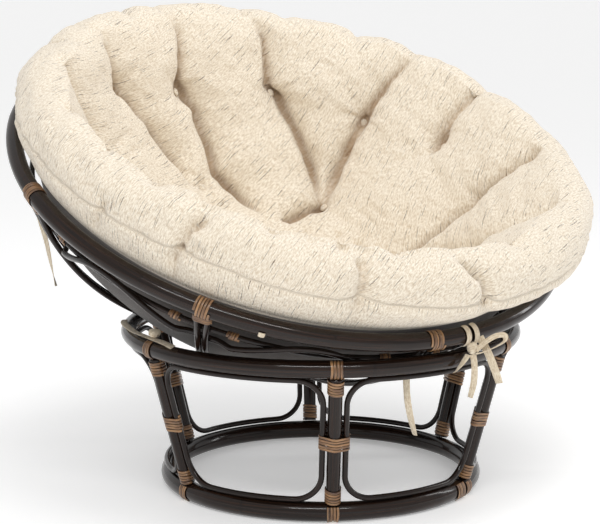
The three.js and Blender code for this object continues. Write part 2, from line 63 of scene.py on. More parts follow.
def box_middle(node):
    """Middle of a node's box, in plan."""
    low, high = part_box(node)
    return np.array([(low.x + high.x) / 2, (low.y + high.y) / 2, 0.0])


STAND_AXIS = box_middle("upper_ring")
BOWL_CENTRE = np.array(frame["record"]["behaviour"]["joints"][0]["pos_m"], float)

# Sizes of the stand
LOWER_RING = 0.288
LOWER_POLE = 0.036
UPPER_RING = 0.362
UPPER_HEIGHT = 0.292
UPPER_POLE = 0.032
POST_POLE = 0.026
CANE = 0.011
CANE_TO_POST = 0.0205
CANE_CORNER = 0.049
POSTS = 6

# Sizes of the bowl
RIM = 0.530
RIM_POLE = 0.033
BOWL_DEPTH = 0.3382
RIB = 0.012
RIBS_OUTSIDE_RIM = 0.0041
RIB_PAIRS = 8
RIB_SPREAD_AT_RIM = 0.010
RIB_SPREAD = 0.0065
RIB_LOOP = 0.020
HOOP = 0.011
HOOP_DEPTH = 0.064
BOTTOM_HOOP = 0.105
BOWL_TILT = math.radians(25.66)
BOWL_TURN = math.radians(-1.8)

RIM_LINE = (RIM ** 2 + BOWL_DEPTH ** 2) / (2 * BOWL_DEPTH)
RIM_DROP = RIM_LINE - BOWL_DEPTH
RIB_LINE = RIM_LINE + RIBS_OUTSIDE_RIM
HOOP_LINE = RIB_LINE - 0.0116

# Sizes of the lashings
PEEL_WIDTH = 0.0050
PEEL_THICK = 0.0015
PEEL_PITCH = 0.0055
PEEL_SLACK = 0.0003
STRAP_PITCH = 0.0056
LASHING_TURNS = 5
NECK_TURNS = 3
HOOP_TURNS = 4
END_RINGS = 2         # rings that round off each end of a strand
GAP = 0.0003          # between pieces that lie on each other

# A cane's growth: how far its joints are apart, and its girth as a share of the CAD pole's
JOINT_SPACING = 0.34
GIRTH = 0.965
GIRTH_WHERE_RING_CLOSES = 0.97


# Directions and places

def heading(azimuth):
    """Level directions (sin a, -cos a, 0) for an array of azimuths."""
    azimuth = np.asarray(azimuth, float)
    return np.stack([np.sin(azimuth), -np.cos(azimuth), np.zeros_like(azimuth)], -1)


def unit(vectors):
    return vectors / np.maximum(np.linalg.norm(vectors, axis=-1, keepdims=True), 1e-12)


UP = np.array([0.0, 0.0, 1.0])
TILT_COS, TILT_SIN = math.cos(BOWL_TILT), math.sin(BOWL_TILT)
BOWL_TO_CHAIR = np.array([[1, 0, 0], [0, TILT_COS, -TILT_SIN], [0, TILT_SIN, TILT_COS]])


def in_chair(points):
    """Points of the bowl's own frame (sphere centre at the origin, axis +Z) in the chair's."""
    return points @ BOWL_TO_CHAIR.T + BOWL_CENTRE


def turned_in_chair(vectors):
    return vectors @ BOWL_TO_CHAIR.T


def smoothstep(value, low, high):
    share = np.clip((value - low) / (high - low), 0, 1)
    return share * share * (3 - 2 * share)


# Meshes from grids of points

# A tube: a grid of points, rows along a path and columns round it, with UVs in metres that have
# one column more. A closed tube's last row joins its first, and its UVs have one row more too. An
# open tube ends in a fan to the middle of its ring.
Patch = namedtuple("Patch", "points uv closed", defaults=[False])


def grid_quads(rows, cols, closed):
    """Quads of a tube's grid: the row and column where each starts, and its four corners."""
    row = np.arange(rows if closed else rows - 1)
    r, c = (grid.ravel() for grid in np.meshgrid(row, np.arange(cols), indexing="ij"))
    r1, c1 = (r + 1) % rows, (c + 1) % cols
    return r, c, np.stack([r * cols + c, r * cols + c1, r1 * cols + c1, r1 * cols + c], 1)


def patch_faces(patch):
    """Points, quads (f, 4), fans (g, 3), and the UVs at the corners of both."""
    rows, cols = patch.points.shape[:2]
    r, c, quads = grid_quads(rows, cols, patch.closed)
    uv = patch.uv
    quad_uv = np.stack([uv[r, c], uv[r, c + 1], uv[r + 1, c + 1], uv[r + 1, c]], 1)
    points = patch.points.reshape(-1, 3)
    if patch.closed:
        return points, quads, fans_to(0, [], []), quad_uv, np.zeros((0, 3, 2))
    hub = len(points)
    points = np.vstack([points, patch.points[0].mean(0), patch.points[-1].mean(0)])
    col = np.arange(cols)
    beside = (col + 1) % cols
    end = (rows - 1) * cols
    fans = np.vstack([fans_to(hub, beside, col), fans_to(hub + 1, end + col, end + beside)])
    fan_uv = np.concatenate([np.stack([uv[0, col], uv[0, col + 1], uv[0, col]], 1),
                             np.stack([uv[-1, col], uv[-1, col], uv[-1, col + 1]], 1)])
    return points, quads, fans, quad_uv, fan_uv


def fans_to(hub, first, second):
    """Triangles from one point to pairs of points of a ring."""
    return np.stack([np.full(len(first), hub), first, second], 1).astype(int)


def volume_of(points, quads, fans):
    """Six times the signed volume of a closed surface: tetrahedra from its middle, summed."""
    middle = points.mean(0)
    corners = points[quads] - middle
    total = np.einsum("ij,ij->", corners[:, 0], np.cross(corners[:, 1], corners[:, 2]))
    total += np.einsum("ij,ij->", corners[:, 0], np.cross(corners[:, 2], corners[:, 3]))
    corners = points[fans] - middle
    return total + np.einsum("ij,ij->", corners[:, 0], np.cross(corners[:, 1], corners[:, 2]))


def mesh_object(name, patches):
    """One mesh object from patches, at the origin, linked to the scene."""
    parts = []
    start = 0
    for patch in patches:
        points, *faces = patch_faces(patch)
        if volume_of(points, *faces[:2]) < 0:
            faces = [corners[:, ::-1] for corners in faces]
        quads, fans, quad_uv, fan_uv = faces
        parts.append((points, quads + start, fans + start, quad_uv, fan_uv))
        start += len(points)
    points, quads, fans, quad_uv, fan_uv = (np.concatenate(part) for part in zip(*parts))
    corners = np.concatenate([quads.ravel(), fans.ravel()]).astype(np.int32)
    sizes = np.concatenate([np.full(len(quads), 4), np.full(len(fans), 3)]).astype(np.int32)
    mesh = bpy.data.meshes.new(name)
    mesh.vertices.add(len(points))
    mesh.loops.add(len(corners))
    mesh.polygons.add(len(sizes))
    mesh.vertices.foreach_set("co", points.astype(np.float32).ravel())
    mesh.loops.foreach_set("vertex_index", corners)
    mesh.polygons.foreach_set("loop_start", np.cumsum(sizes, dtype=np.int32) - sizes)
    mesh.polygons.foreach_set("loop_total", sizes)
    mesh.polygons.foreach_set("use_smooth", np.ones(len(sizes), bool))
    layer = mesh.uv_layers.new(name="UVMap")
    uv = np.concatenate([quad_uv.reshape(-1, 2), fan_uv.reshape(-1, 2)])
    layer.data.foreach_set("uv", uv.astype(np.float32).ravel())
    mesh.update(calc_edges=True)
    mesh.validate()
    made = bpy.data.objects.new(name, mesh)
    bpy.context.scene.collection.objects.link(made)
    return made


def make_piece(name, patches, material, body, replaced=()):
    """A mesh object with its material, riding on a body."""
    piece = mesh_object(name, patches)
    piece.data.materials.append(material)
    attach(piece, body)
    if replaced:
        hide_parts(*replaced)
    return piece


def along_path(path, closed):
    """Directions along a path, and the distance run at each point (one more when closed)."""
    if closed:
        ahead, behind = np.roll(path, -1, 0), np.roll(path, 1, 0)
        steps = np.linalg.norm(ahead - path, axis=1)
        return unit(ahead - behind), np.concatenate([[0], np.cumsum(steps)])
    steps = np.linalg.norm(np.diff(path, axis=0), axis=1)
    return unit(np.gradient(path, axis=0)), np.concatenate([[0], np.cumsum(steps)])


def sweep(path, outs, section, closed=False, scale=None, lead=0.0):
    """A section carried along a path: point + across * side + up * out.

    The section is (columns, 2); scale shrinks or swells it row by row; lead is added to the
    length in the UV, so that no two pieces show the same stretch of a pattern.
    """
    tangent, run = along_path(path, closed)
    side = unit(np.cross(tangent, outs))
    out = np.cross(side, tangent)
    if scale is None:
        scale = np.ones(len(path))
    shape = section * scale[:, None, None]
    points = path[:, None] + side[:, None] * shape[..., :1] + out[:, None] * shape[..., 1:]
    edge = np.linalg.norm(np.roll(section, -1, 0) - section, axis=1)
    round_it = np.concatenate([[0], np.cumsum(edge)])
    rows = len(path) + 1 if closed else len(path)
    uv = np.stack(np.broadcast_arrays(run[:rows, None] + lead, round_it[None]), -1)
    return Patch(points, uv, closed)


def circle(radius, count):
    """A round section of count points: radius * (cos a, sin a)."""
    angle = np.arange(count) * TURN / count
    return radius * np.stack([np.cos(angle), np.sin(angle)], 1)


def strand_section():
    """A strand of peel: flat below, rounded above, standing on the second axis's zero."""
    across = np.array([-0.5, -0.46, -0.34, -0.17, 0.0, 0.17, 0.34, 0.46, 0.5, 0.25, -0.25])
    up = np.array([0.18, 0.55, 0.85, 0.98, 1.0, 0.98, 0.85, 0.55, 0.18, 0.0, 0.0])
    return np.stack([across * PEEL_WIDTH, up * PEEL_THICK], 1)


def strand(path, outs, lead):
    """A strand of peel along a path; at each end its last rings shrink along a quarter circle.

    The quarter stops at 97 %, so that the last ring still has a size.
    """
    tangent = along_path(path, False)[0]
    angle = np.linspace(0, math.pi / 2, END_RINGS + 1)[1:] * 0.97
    reach = PEEL_THICK / 2 * np.sin(angle)
    start = path[0] - tangent[0] * reach[::-1, None]
    end = path[-1] + tangent[-1] * reach[:, None]
    scale = np.concatenate([np.cos(angle)[::-1], np.ones(len(path)), np.cos(angle)])
    first, last = (np.repeat(out[None], END_RINGS, 0) for out in (outs[0], outs[-1]))
    return sweep(np.vstack([start, path, end]), np.vstack([first, outs, last]), strand_section(),
                 scale=scale, lead=lead)


def pole_swell(run, seed):
    """How a pole's girth wanders along its length: two slow waves and a low ridge at each joint.

    The ridge is exp(-(distance / 6 mm) ** 2).
    """
    wander = 0.012 * np.sin(run * 9 + seed) + 0.008 * np.sin(run * 23 + 2.3 * seed)
    from_joint = (run + 0.11 * seed) % JOINT_SPACING - JOINT_SPACING / 2
    return GIRTH + wander + 0.022 * np.exp(-(from_joint / 0.006) ** 2)


def pole(path, outs, radius, closed=False, seed=0.0, count=24):
    """A natural pole along a path: a circle whose girth follows pole_swell.

    A closed pole's girth is even near the point where its ends meet.
    """
    run = along_path(path, closed)[1][:len(path)]
    swell = pole_swell(run, seed)
    if closed:
        fade = smoothstep(run, 0, 0.05) * smoothstep(run[-1] - run, 0, 0.05)
        swell = GIRTH_WHERE_RING_CLOSES + (swell - GIRTH_WHERE_RING_CLOSES) * fade
    return sweep(path, outs, circle(radius, count), closed, swell, lead=seed * 0.37)


def smooth_through(points, count, closed=False, at=None):
    """A Catmull-Rom curve through points, count even steps in all or at given places."""
    points = np.asarray(points, float)
    spans = len(points) if closed else len(points) - 1
    if at is None:
        at = np.linspace(0, spans, count, endpoint=not closed)
    base = np.minimum(at.astype(int), spans - 1)
    t = (at - base).reshape((-1,) + (1,) * (points.ndim - 1))

    def pick(offset):
        index = base + offset
        return points[index % len(points)] if closed else points[np.clip(index, 0, spans)]

    before, here, ahead, beyond = (pick(offset) for offset in (-1, 0, 1, 2))
    return 0.5 * (2 * here + (ahead - before) * t
                  + (2 * before - 5 * here + 4 * ahead - beyond) * t ** 2
                  + (3 * here - before - 3 * ahead + beyond) * t ** 3)


# The camera, at the photograph's view: fitted to the circles of the rim and of both rings

CAMERA_FROM_STAND = np.array([-1.92155, -2.82488, 0.98598])
CAMERA_AHEAD = np.array([0.54541, 0.82194, -0.16417])
CAMERA_RIGHT = np.array([0.83324, -0.55291, 0.0])
FOCAL_PIXELS = 1834.2
PICTURE = np.array([600.0, 524.0])
SENSOR_MM = 36.0
CAMERA_AT = STAND_AXIS + CAMERA_FROM_STAND
AHEAD = unit(CAMERA_AHEAD)
RIGHT = unit(CAMERA_RIGHT)
ABOVE = np.cross(RIGHT, AHEAD)


def add_camera():
    data = bpy.data.cameras.new("photo_camera")
    data.sensor_fit = "HORIZONTAL"
    data.sensor_width = SENSOR_MM
    data.lens = FOCAL_PIXELS / PICTURE[0] * SENSOR_MM
    camera = bpy.data.objects.new("photo_camera", data)
    camera.matrix_world = Matrix([[RIGHT[i], ABOVE[i], -AHEAD[i], CAMERA_AT[i]] for i in range(3)]
                                 + [[0, 0, 0, 1]])
    bpy.context.scene.collection.objects.link(camera)
    bpy.context.scene.camera = camera


def ray_of(pixel):
    """Direction from the camera through a pixel of the photograph."""
    x, y = np.asarray(pixel, float) - PICTURE / 2
    return unit(AHEAD + RIGHT * x / FOCAL_PIXELS - ABOVE * y / FOCAL_PIXELS)


add_camera()


# Shader nodes

def node(tree, kind, inputs=None, **settings):
    """A node with its settings; an input is a value or the output socket that feeds it."""
    made = tree.nodes.new(kind)
    for key, value in settings.items():
        setattr(made, key, value)
    for key, value in (inputs or {}).items():
        if isinstance(value, bpy.types.NodeSocket):
            tree.links.new(value, made.inputs[key])
        else:
            made.inputs[key].default_value = value
    return made


def maths(tree, operation, first, second=0.5, clamp=False):
    return node(tree, "ShaderNodeMath", {0: first, 1: second}, operation=operation,
                use_clamp=clamp).outputs[0]


def blend_colours(tree, factor, first, second):
    """Two colours mixed; 6, 7 and 2 are the colour sockets of the Mix node."""
    return node(tree, "ShaderNodeMix", {"Factor": factor, 6: first, 7: second},
                data_type="RGBA").outputs[2]


def stretch(tree, value, low, high, to_low=0.0, to_high=1.0):
    """A value's range low..high spread to to_low..to_high, kept inside."""
    return node(tree, "ShaderNodeMapRange",
                {"Value": value, "From Min": low, "From Max": high,
                 "To Min": to_low, "To Max": to_high}).outputs["Result"]


def scaled(tree, vector, scale):
    return node(tree, "ShaderNodeMapping", {"Vector": vector, "Scale": scale}).outputs["Vector"]


def noise(tree, vector, scale=1.0, detail=2.0, roughness=0.5):
    return node(tree, "ShaderNodeTexNoise", {"Vector": vector, "Scale": scale, "Detail": detail,
                                             "Roughness": roughness}).outputs["Fac"]


def new_group(name, inputs, outputs):
    """A shader group with float, vector or colour sockets, and its two end nodes."""
    tree = bpy.data.node_groups.new(name, "ShaderNodeTree")
    kinds = {"float": "NodeSocketFloat", "vector": "NodeSocketVector", "color": "NodeSocketColor"}
    for socket, kind, default in inputs:
        made = tree.interface.new_socket(name=socket, in_out="INPUT", socket_type=kinds[kind])
        if default is not None:
            made.default_value = default
    for socket, kind in outputs:
        tree.interface.new_socket(name=socket, in_out="OUTPUT", socket_type=kinds[kind])
    return tree, tree.nodes.new("NodeGroupInput"), tree.nodes.new("NodeGroupOutput")


def finish_group(tree, end, **values):
    """Feeds the group's outputs; a name has _ for each space."""
    for socket, value in values.items():
        tree.links.new(value, end.inputs[socket.replace("_", " ")])


def add_streaks_group():
    """Long streaks, fine pores and the joints of a cane, on its own UV: u runs along the cane."""
    tree, start, end = new_group(
        "cane_streaks",
        [("Vector", "vector", None), ("Streak Length", "float", 0.12),
         ("Streak Width", "float", 0.002)],
        [("Streaks", "float"), ("Pores", "float"), ("Joint", "float"), ("Height", "float")])
    u_v = node(tree, "ShaderNodeSeparateXYZ", {"Vector": start.outputs["Vector"]})
    u, v = u_v.outputs["X"], u_v.outputs["Y"]
    long = maths(tree, "DIVIDE", u, start.outputs["Streak Length"])
    wide = maths(tree, "DIVIDE", v, start.outputs["Streak Width"])
    lined = node(tree, "ShaderNodeCombineXYZ", {"X": long, "Y": wide}).outputs[0]
    streaks = noise(tree, lined, detail=4.0, roughness=0.6)
    pores = noise(tree, scaled(tree, start.outputs["Vector"], (160, 2600, 1)), detail=1.0)
    pores = stretch(tree, pores, 0.62, 0.74)
    wobble = noise(tree, start.outputs["Vector"], scale=60, detail=1.0)
    placed = maths(tree, "ADD", u, maths(tree, "MULTIPLY", wobble, 0.004))
    spaced = maths(tree, "FRACT", maths(tree, "DIVIDE", placed, JOINT_SPACING))
    off = maths(tree, "ABSOLUTE", maths(tree, "SUBTRACT", spaced, 0.5))
    joint = stretch(tree, off, 0.004, 0.011, 1.0, 0.0)
    height = maths(tree, "ADD", maths(tree, "MULTIPLY", streaks, 0.5),
                   maths(tree, "MULTIPLY", joint, 0.7))
    finish_group(tree, end, Streaks=streaks, Pores=pores, Joint=joint, Height=height)
    return tree


def add_weave_group():
    """A chenille cloth on UVs in metres: crossed yarns, uneven yarns, and sparse dark slubs.

    The yarns run along u. Slubs are the peaks of a noise drawn out along u, broken by a finer
    one, so that they show as short thin dashes.
    """
    tree, start, end = new_group(
        "chenille_weave",
        [("Vector", "vector", None), ("Yarn", "float", 0.0026), ("Slub Amount", "float", 1.0)],
        [("Height", "float"), ("Mottle", "float"), ("Slubs", "float"), ("Yarn Shade", "float")])
    vector = start.outputs["Vector"]
    bend = node(tree, "ShaderNodeTexNoise", {"Vector": vector, "Scale": 18.0, "Detail": 1.0})
    shift = node(tree, "ShaderNodeVectorMath", {0: bend.outputs["Color"], 1: (0.5, 0.5, 0.5)},
                 operation="SUBTRACT").outputs[0]
    drift = node(tree, "ShaderNodeVectorMath", {0: shift, "Scale": 0.006},
                 operation="SCALE").outputs[0]
    bent = node(tree, "ShaderNodeVectorMath", {0: vector, 1: drift}, operation="ADD").outputs[0]
    u_v = node(tree, "ShaderNodeSeparateXYZ", {"Vector": bent})
    u, v = u_v.outputs["X"], u_v.outputs["Y"]
    pitch = start.outputs["Yarn"]
    across = maths(tree, "MULTIPLY", maths(tree, "DIVIDE", v, pitch), TURN / 2)
    along = maths(tree, "MULTIPLY", maths(tree, "DIVIDE", u, maths(tree, "MULTIPLY", pitch, 1.5)),
                  TURN / 2)
    weft = maths(tree, "ABSOLUTE", maths(tree, "SINE", across))
    warp = maths(tree, "ABSOLUTE", maths(tree, "SINE", along))
    fuzz = noise(tree, scaled(tree, bent, (260, 620, 1)), detail=3.0, roughness=0.65)
    height = maths(tree, "ADD", maths(tree, "MULTIPLY", weft, 0.45),
                   maths(tree, "MULTIPLY", warp, 0.2))
    height = maths(tree, "ADD", height, maths(tree, "MULTIPLY", fuzz, 0.8))
    mottle = noise(tree, scaled(tree, bent, (130, 360, 1)), detail=4.0, roughness=0.75)
    shade = noise(tree, scaled(tree, bent, (14, 420, 1)), detail=2.0, roughness=0.6)
    long = noise(tree, scaled(tree, bent, (18, 430, 1)), detail=1.0, roughness=0.4)
    broken = noise(tree, scaled(tree, bent, (210, 900, 1)), detail=1.0)
    slubs = maths(tree, "MULTIPLY", stretch(tree, long, 0.655, 0.695),
                  stretch(tree, broken, 0.36, 0.5))
    slubs = maths(tree, "MULTIPLY", slubs, start.outputs["Slub Amount"], clamp=True)
    finish_group(tree, end, Height=height, Mottle=mottle, Slubs=slubs, Yarn_Shade=shade)
    return tree


STREAKS = add_streaks_group()
WEAVE = add_weave_group()


def new_material(name):
    material = bpy.data.materials.new(name)
    material.use_nodes = True
    tree = material.node_tree
    shader = tree.nodes["Principled BSDF"]
    where = tree.nodes.new("ShaderNodeUVMap")
    where.uv_map = "UVMap"
    return material, tree, shader, where.outputs["UV"]


def bump(tree, shader, height, strength, distance):
    made = node(tree, "ShaderNodeBump", {"Height": height, "Strength": strength,
                                         "Distance": distance})
    tree.links.new(made.outputs["Normal"], shader.inputs["Normal"])


def placed_group(tree, group, **inputs):
    """The outputs of a group placed in a material; an input's name has _ for each space."""
    sockets = {key.replace("_", " "): value for key, value in inputs.items()}
    return node(tree, "ShaderNodeGroup", sockets, node_tree=group).outputs


def lacquer_material(name, deep, warm, streak_width):
    """Espresso lacquer over rattan: near black, with red-brown streaks that show in the light."""
    material, tree, shader, uv = new_material(name)
    cane = placed_group(tree, STREAKS, Vector=uv, Streak_Length=0.16, Streak_Width=streak_width)
    tone = stretch(tree, cane["Streaks"], 0.42, 0.72)
    colour = blend_colours(tree, tone, deep, warm)
    colour = blend_colours(tree, maths(tree, "MULTIPLY", cane["Joint"], 0.55), colour,
                           (0.006, 0.003, 0.002, 1))
    tree.links.new(colour, shader.inputs["Base Color"])
    rough = stretch(tree, noise(tree, uv, scale=38, detail=3.0), 0.3, 0.7, 0.13, 0.24)
    tree.links.new(rough, shader.inputs["Roughness"])
    shader.inputs["Specular IOR Level"].default_value = 0.22
    shader.inputs["Coat Weight"].default_value = 0.22
    shader.inputs["Coat Roughness"].default_value = 0.04
    shader.inputs["Coat IOR"].default_value = 1.5
    bump(tree, shader, cane["Height"], 0.16, 0.0008)
    return material


def peel_material():
    """Split rattan peel under clear lacquer: golden to red-brown, with pale streaks that are
    lighter fibre and partly a painted highlight, and painted shade at the edges where turns meet.
    """
    material, tree, shader, uv = new_material("golden_peel")
    cane = placed_group(tree, STREAKS, Vector=uv, Streak_Length=0.03, Streak_Width=0.0009)
    patches = noise(tree, scaled(tree, uv, (26, 160, 1)), detail=2.0)
    colour = blend_colours(tree, stretch(tree, patches, 0.36, 0.64),
                           (0.070, 0.026, 0.011, 1), (0.300, 0.150, 0.058, 1))
    # Pale streaks: lighter fibre, and partly a painted highlight.
    colour = blend_colours(tree, stretch(tree, cane["Streaks"], 0.5, 0.78), colour,
                           (0.520, 0.330, 0.155, 1))
    # Painted shade: the strand's edges, where one turn meets the next, are darkened to near black.
    across = node(tree, "ShaderNodeSeparateXYZ", {"Vector": uv}).outputs["Y"]
    crown = PEEL_WIDTH * 0.62      # v at the middle of the strand's rounded side
    from_crown = maths(tree, "ABSOLUTE", maths(tree, "SUBTRACT", across, crown))
    edge = stretch(tree, from_crown, PEEL_WIDTH * 0.34, PEEL_WIDTH * 0.62)
    colour = blend_colours(tree, edge, colour, (0.020, 0.008, 0.004, 1))
    tree.links.new(colour, shader.inputs["Base Color"])
    tree.links.new(stretch(tree, cane["Streaks"], 0.3, 0.7, 0.28, 0.5),
                   shader.inputs["Roughness"])
    shader.inputs["Coat Weight"].default_value = 0.35
    shader.inputs["Coat Roughness"].default_value = 0.12
    bump(tree, shader, cane["Height"], 0.35, 0.0006)
    return material


# Painted shade: the warm brown mixed into the bottoms of folds and tufts.
FOLD_SHADE_BROWN = (0.300, 0.185, 0.095, 1)


def cloth_material(name, yarn, slub_amount, ivory, shade, slub, underside_shade=None):
    """Woven cream cloth: mottled ivory yarns, sparse brown slubs, a fuzzy soft surface.

    Where the mesh's underside mask is 1, the underside is painted near black as painted shade;
    where its fold mask is 1, the bottom of a fold or tuft gets a warm brown painted shade, as only
    warm light reaches there.
    """
    material, tree, shader, uv = new_material(name)
    weave = placed_group(tree, WEAVE, Vector=uv, Yarn=yarn, Slub_Amount=slub_amount)
    colour = blend_colours(tree, stretch(tree, weave["Mottle"], 0.40, 0.58), shade, ivory)
    streak = maths(tree, "MULTIPLY", stretch(tree, weave["Yarn Shade"], 0.52, 0.7), 0.35)
    colour = blend_colours(tree, streak, colour, shade)
    colour = blend_colours(tree, maths(tree, "MULTIPLY", weave["Slubs"], 0.85), colour, slub)
    if underside_shade:
        # Painted shade: the bottoms of folds and tufts are mixed towards a warm brown.
        fold_shade = node(tree, "ShaderNodeAttribute", attribute_name="fold_shade").outputs["Fac"]
        deep = maths(tree, "POWER", fold_shade, 2.4, clamp=True)
        colour = blend_colours(tree, maths(tree, "MULTIPLY", deep, 0.75), colour, FOLD_SHADE_BROWN)
        # Painted shade: the underside, which only shows in shade, is painted near black.
        under = node(tree, "ShaderNodeAttribute", attribute_name="underside_shade").outputs["Fac"]
        colour = blend_colours(tree, under, colour, underside_shade)
    tree.links.new(colour, shader.inputs["Base Color"])
    tree.links.new(stretch(tree, weave["Height"], 0.2, 1.2, 1.0, 0.82),
                   shader.inputs["Roughness"])
    shader.inputs["Specular IOR Level"].default_value = 0.2
    shader.inputs["Sheen Weight"].default_value = 0.25
    shader.inputs["Sheen Roughness"].default_value = 0.6
    bump(tree, shader, weave["Height"], 0.55, 0.0011)
    return material


def nylon_material(name, colour, roughness, grain):
    """Moulded nylon: one colour with a fine mould grain and worn patches."""
    material, tree, shader, _ = new_material(name)
    place = node(tree, "ShaderNodeTexCoord").outputs["Object"]
    worn = stretch(tree, noise(tree, place, scale=160, detail=3.0), 0.35, 0.75)
    darker = tuple(channel * 0.8 for channel in colour[:3]) + (1,)
    tree.links.new(blend_colours(tree, worn, colour, darker), shader.inputs["Base Color"])
    tree.links.new(stretch(tree, worn, 0.0, 1.0, roughness, roughness + 0.2),
                   shader.inputs["Roughness"])
    bump(tree, shader, noise(tree, place, scale=grain, detail=1.0), 0.1, 0.0003)
    return material


POLE_LACQUER = lacquer_material("espresso_pole", deep=(0.0075, 0.0042, 0.0030, 1),
                                warm=(0.030, 0.0125, 0.0065, 1), streak_width=0.0035)
CANE_LACQUER = lacquer_material("espresso_cane", deep=(0.0070, 0.0042, 0.0032, 1),
                                warm=(0.024, 0.0105, 0.0060, 1), streak_width=0.0022)
PEEL = peel_material()
# The cream cloth's last colour is painted shade for the underside.
CHENILLE = cloth_material("cream_chenille", yarn=0.0026, slub_amount=1.0,
                          ivory=(0.870, 0.800, 0.680, 1), shade=(0.600, 0.495, 0.365, 1),
                          slub=(0.060, 0.034, 0.024, 1), underside_shade=(0.030, 0.022, 0.017, 1))
TAPE = cloth_material("cream_tape", yarn=0.0012, slub_amount=0.25,
                      ivory=(0.780, 0.690, 0.540, 1), shade=(0.560, 0.450, 0.310, 1),
                      slub=(0.180, 0.110, 0.070, 1))
NYLON = nylon_material("pale_nylon", colour=(0.70, 0.68, 0.63, 1), roughness=0.35, grain=900)


# The ties: flat cloth tapes, which hang free

TAPE_THICK = 0.0013
TAPE_BOW = 0.0006
TAPE_WIDTH = 0.0115
TIE_STEPS = 64
# Each tie: its CAD node, its body, its width, how far it twists in radians, and its route from
# what holds it to its free end, in millimetres from the stand's axis.
TIES = {
    "front_tie_tail": ("tie_front_tail", "bowl", TAPE_WIDTH, 0.7, [
        (57, -388.2, 302.8), (57.5, -391, 290), (57, -393, 272), (54, -394.5, 252),
        (47, -394, 228)]),
    "front_tie_wide_tail": ("tie_front_wide_tail", "bowl", 0.0140, 0.5, [
        (74.5, -384, 331.5), (76.5, -390.5, 322), (81, -400, 305), (87, -404, 288),
        (94, -407, 268), (100, -409, 250)]),
    "left_tie_tail": ("tie_left_tail", "bowl", 0.0125, 1.7, [
        (-489.2, 194.5, 536), (-487.5, 194, 522), (-483, 193, 500), (-477, 189, 470),
        (-472, 183, 432), (-468, 172, 392)]),
    "ring_tie_left": ("tie_ring_left", "stand", 0.0125, 0.25, [
        (-317, 191, 308.8), (-336, 160, 313), (-351, 126, 315), (-365, 80, 316),
        (-371, 52, 316), (-374, 20, 316.5), (-374, -20, 316), (-371, -52, 314.5),
        (-366, -78, 310)]),
    "ring_tie_front_tail": ("tie_ring_front_tail", "stand", 0.0125, 0.9, [
        (-45.5, -339.4, 291), (-45, -334, 276), (-44, -330.5, 258), (-40, -329, 222),
        (-32, -329, 186), (-23, -329, 157)]),
}
LIES_FLAT = "ring_tie_left"


def tape_section(width):
    """A flat tape, slightly bowed across, with rounded edges: eight points above, eight below.

    Across share x from -0.5 to 0.5 the lift is TAPE_BOW * (1 - 4 x ** 2), and the half thickness
    falls off as the square root of 1 - (2 x) ** 8.
    """
    across = np.array([-0.5, -0.47, -0.35, -0.12, 0.12, 0.35, 0.47, 0.5])
    lift = TAPE_BOW * (1 - (2 * across) ** 2)
    half = TAPE_THICK / 2 * np.sqrt(np.clip(1 - (2 * across) ** 8, 0.05, 1))
    upper = np.stack([across * width, lift + half], 1)
    lower = np.stack([across * width, lift - half], 1)[::-1]
    return np.vstack([upper, lower])


def tape(path, facing, width, twist=0.0, lead=0.0, ripple=0.0):
    """A tape along a path, its face towards facing, turned by twist radians over its length.

    The turn at share s of the length is twist * s + ripple * sin(7 s).
    """
    tangent, run = along_path(path, False)
    out = unit(facing - tangent * np.sum(facing * tangent, 1, keepdims=True))
    side = np.cross(tangent, out)
    share = run / run[-1]
    angle = (twist * share + ripple * np.sin(share * 7.0))[:, None]
    turned = out * np.cos(angle) + side * np.sin(angle)
    return sweep(path, turned, tape_section(width), lead=lead)


def tie_points(name):
    return np.array(TIES[name][-1]) * MM + STAND_AXIS


def add_ties(knots):
    """Each tie follows its route; it starts flat on what holds it and twists as it hangs."""
    for index, (name, (cad_node, body, width, twist, _)) in enumerate(TIES.items()):
        points = tie_points(name)
        path = smooth_through(points, TIE_STEPS)
        facing = np.tile(UP if name == LIES_FLAT else -AHEAD, (len(path), 1))
        patch = tape(path, facing, width, twist, lead=0.2 * index, ripple=0.15)
        piece = make_piece(name, [patch], TAPE, body, [cad_node])


def pixels_of(points):
    """Where points show in the photograph."""
    away = points - CAMERA_AT
    flat = np.stack([away @ RIGHT, -(away @ ABOVE)], -1)
    return PICTURE / 2 + FOCAL_PIXELS * flat / (away @ AHEAD)[..., None]


def nearest_seen(points, pixel):
    """The number of the point that shows nearest to a pixel of the photograph."""
    return int(np.argmin(np.linalg.norm(pixels_of(points) - pixel, axis=1)))


def seen_at(pixel, near):
    """The place on a pixel's ray that is as far from the camera's plane as a nearby point."""
    ray = ray_of(pixel)
    return CAMERA_AT + ray * ((near - CAMERA_AT) @ AHEAD) / (ray @ AHEAD)


def ball(rows, cols, axes):
    """A unit ball on three axes, (rows, cols, 3), and its polar angle and turn as UVs.

    It stops just short of its two poles, which fans close.
    """
    polar = np.linspace(0.12, math.pi - 0.12, rows)[:, None]
    turn = np.arange(cols + 1)[None] * TURN / cols
    parts = (np.sin(polar) * np.cos(turn), np.sin(polar) * np.sin(turn), np.cos(polar) + 0 * turn)
    points = sum(part[:, :-1, None] * axis for part, axis in zip(parts, axes))
    return points, np.stack(np.broadcast_arrays(polar, turn), -1)


# How far each band of a knot leans from level, and how far it is swung round, in radians
KNOT_BANDS = [(0.35, 0.4), (1.25, 1.3), (-0.8, 2.4)]


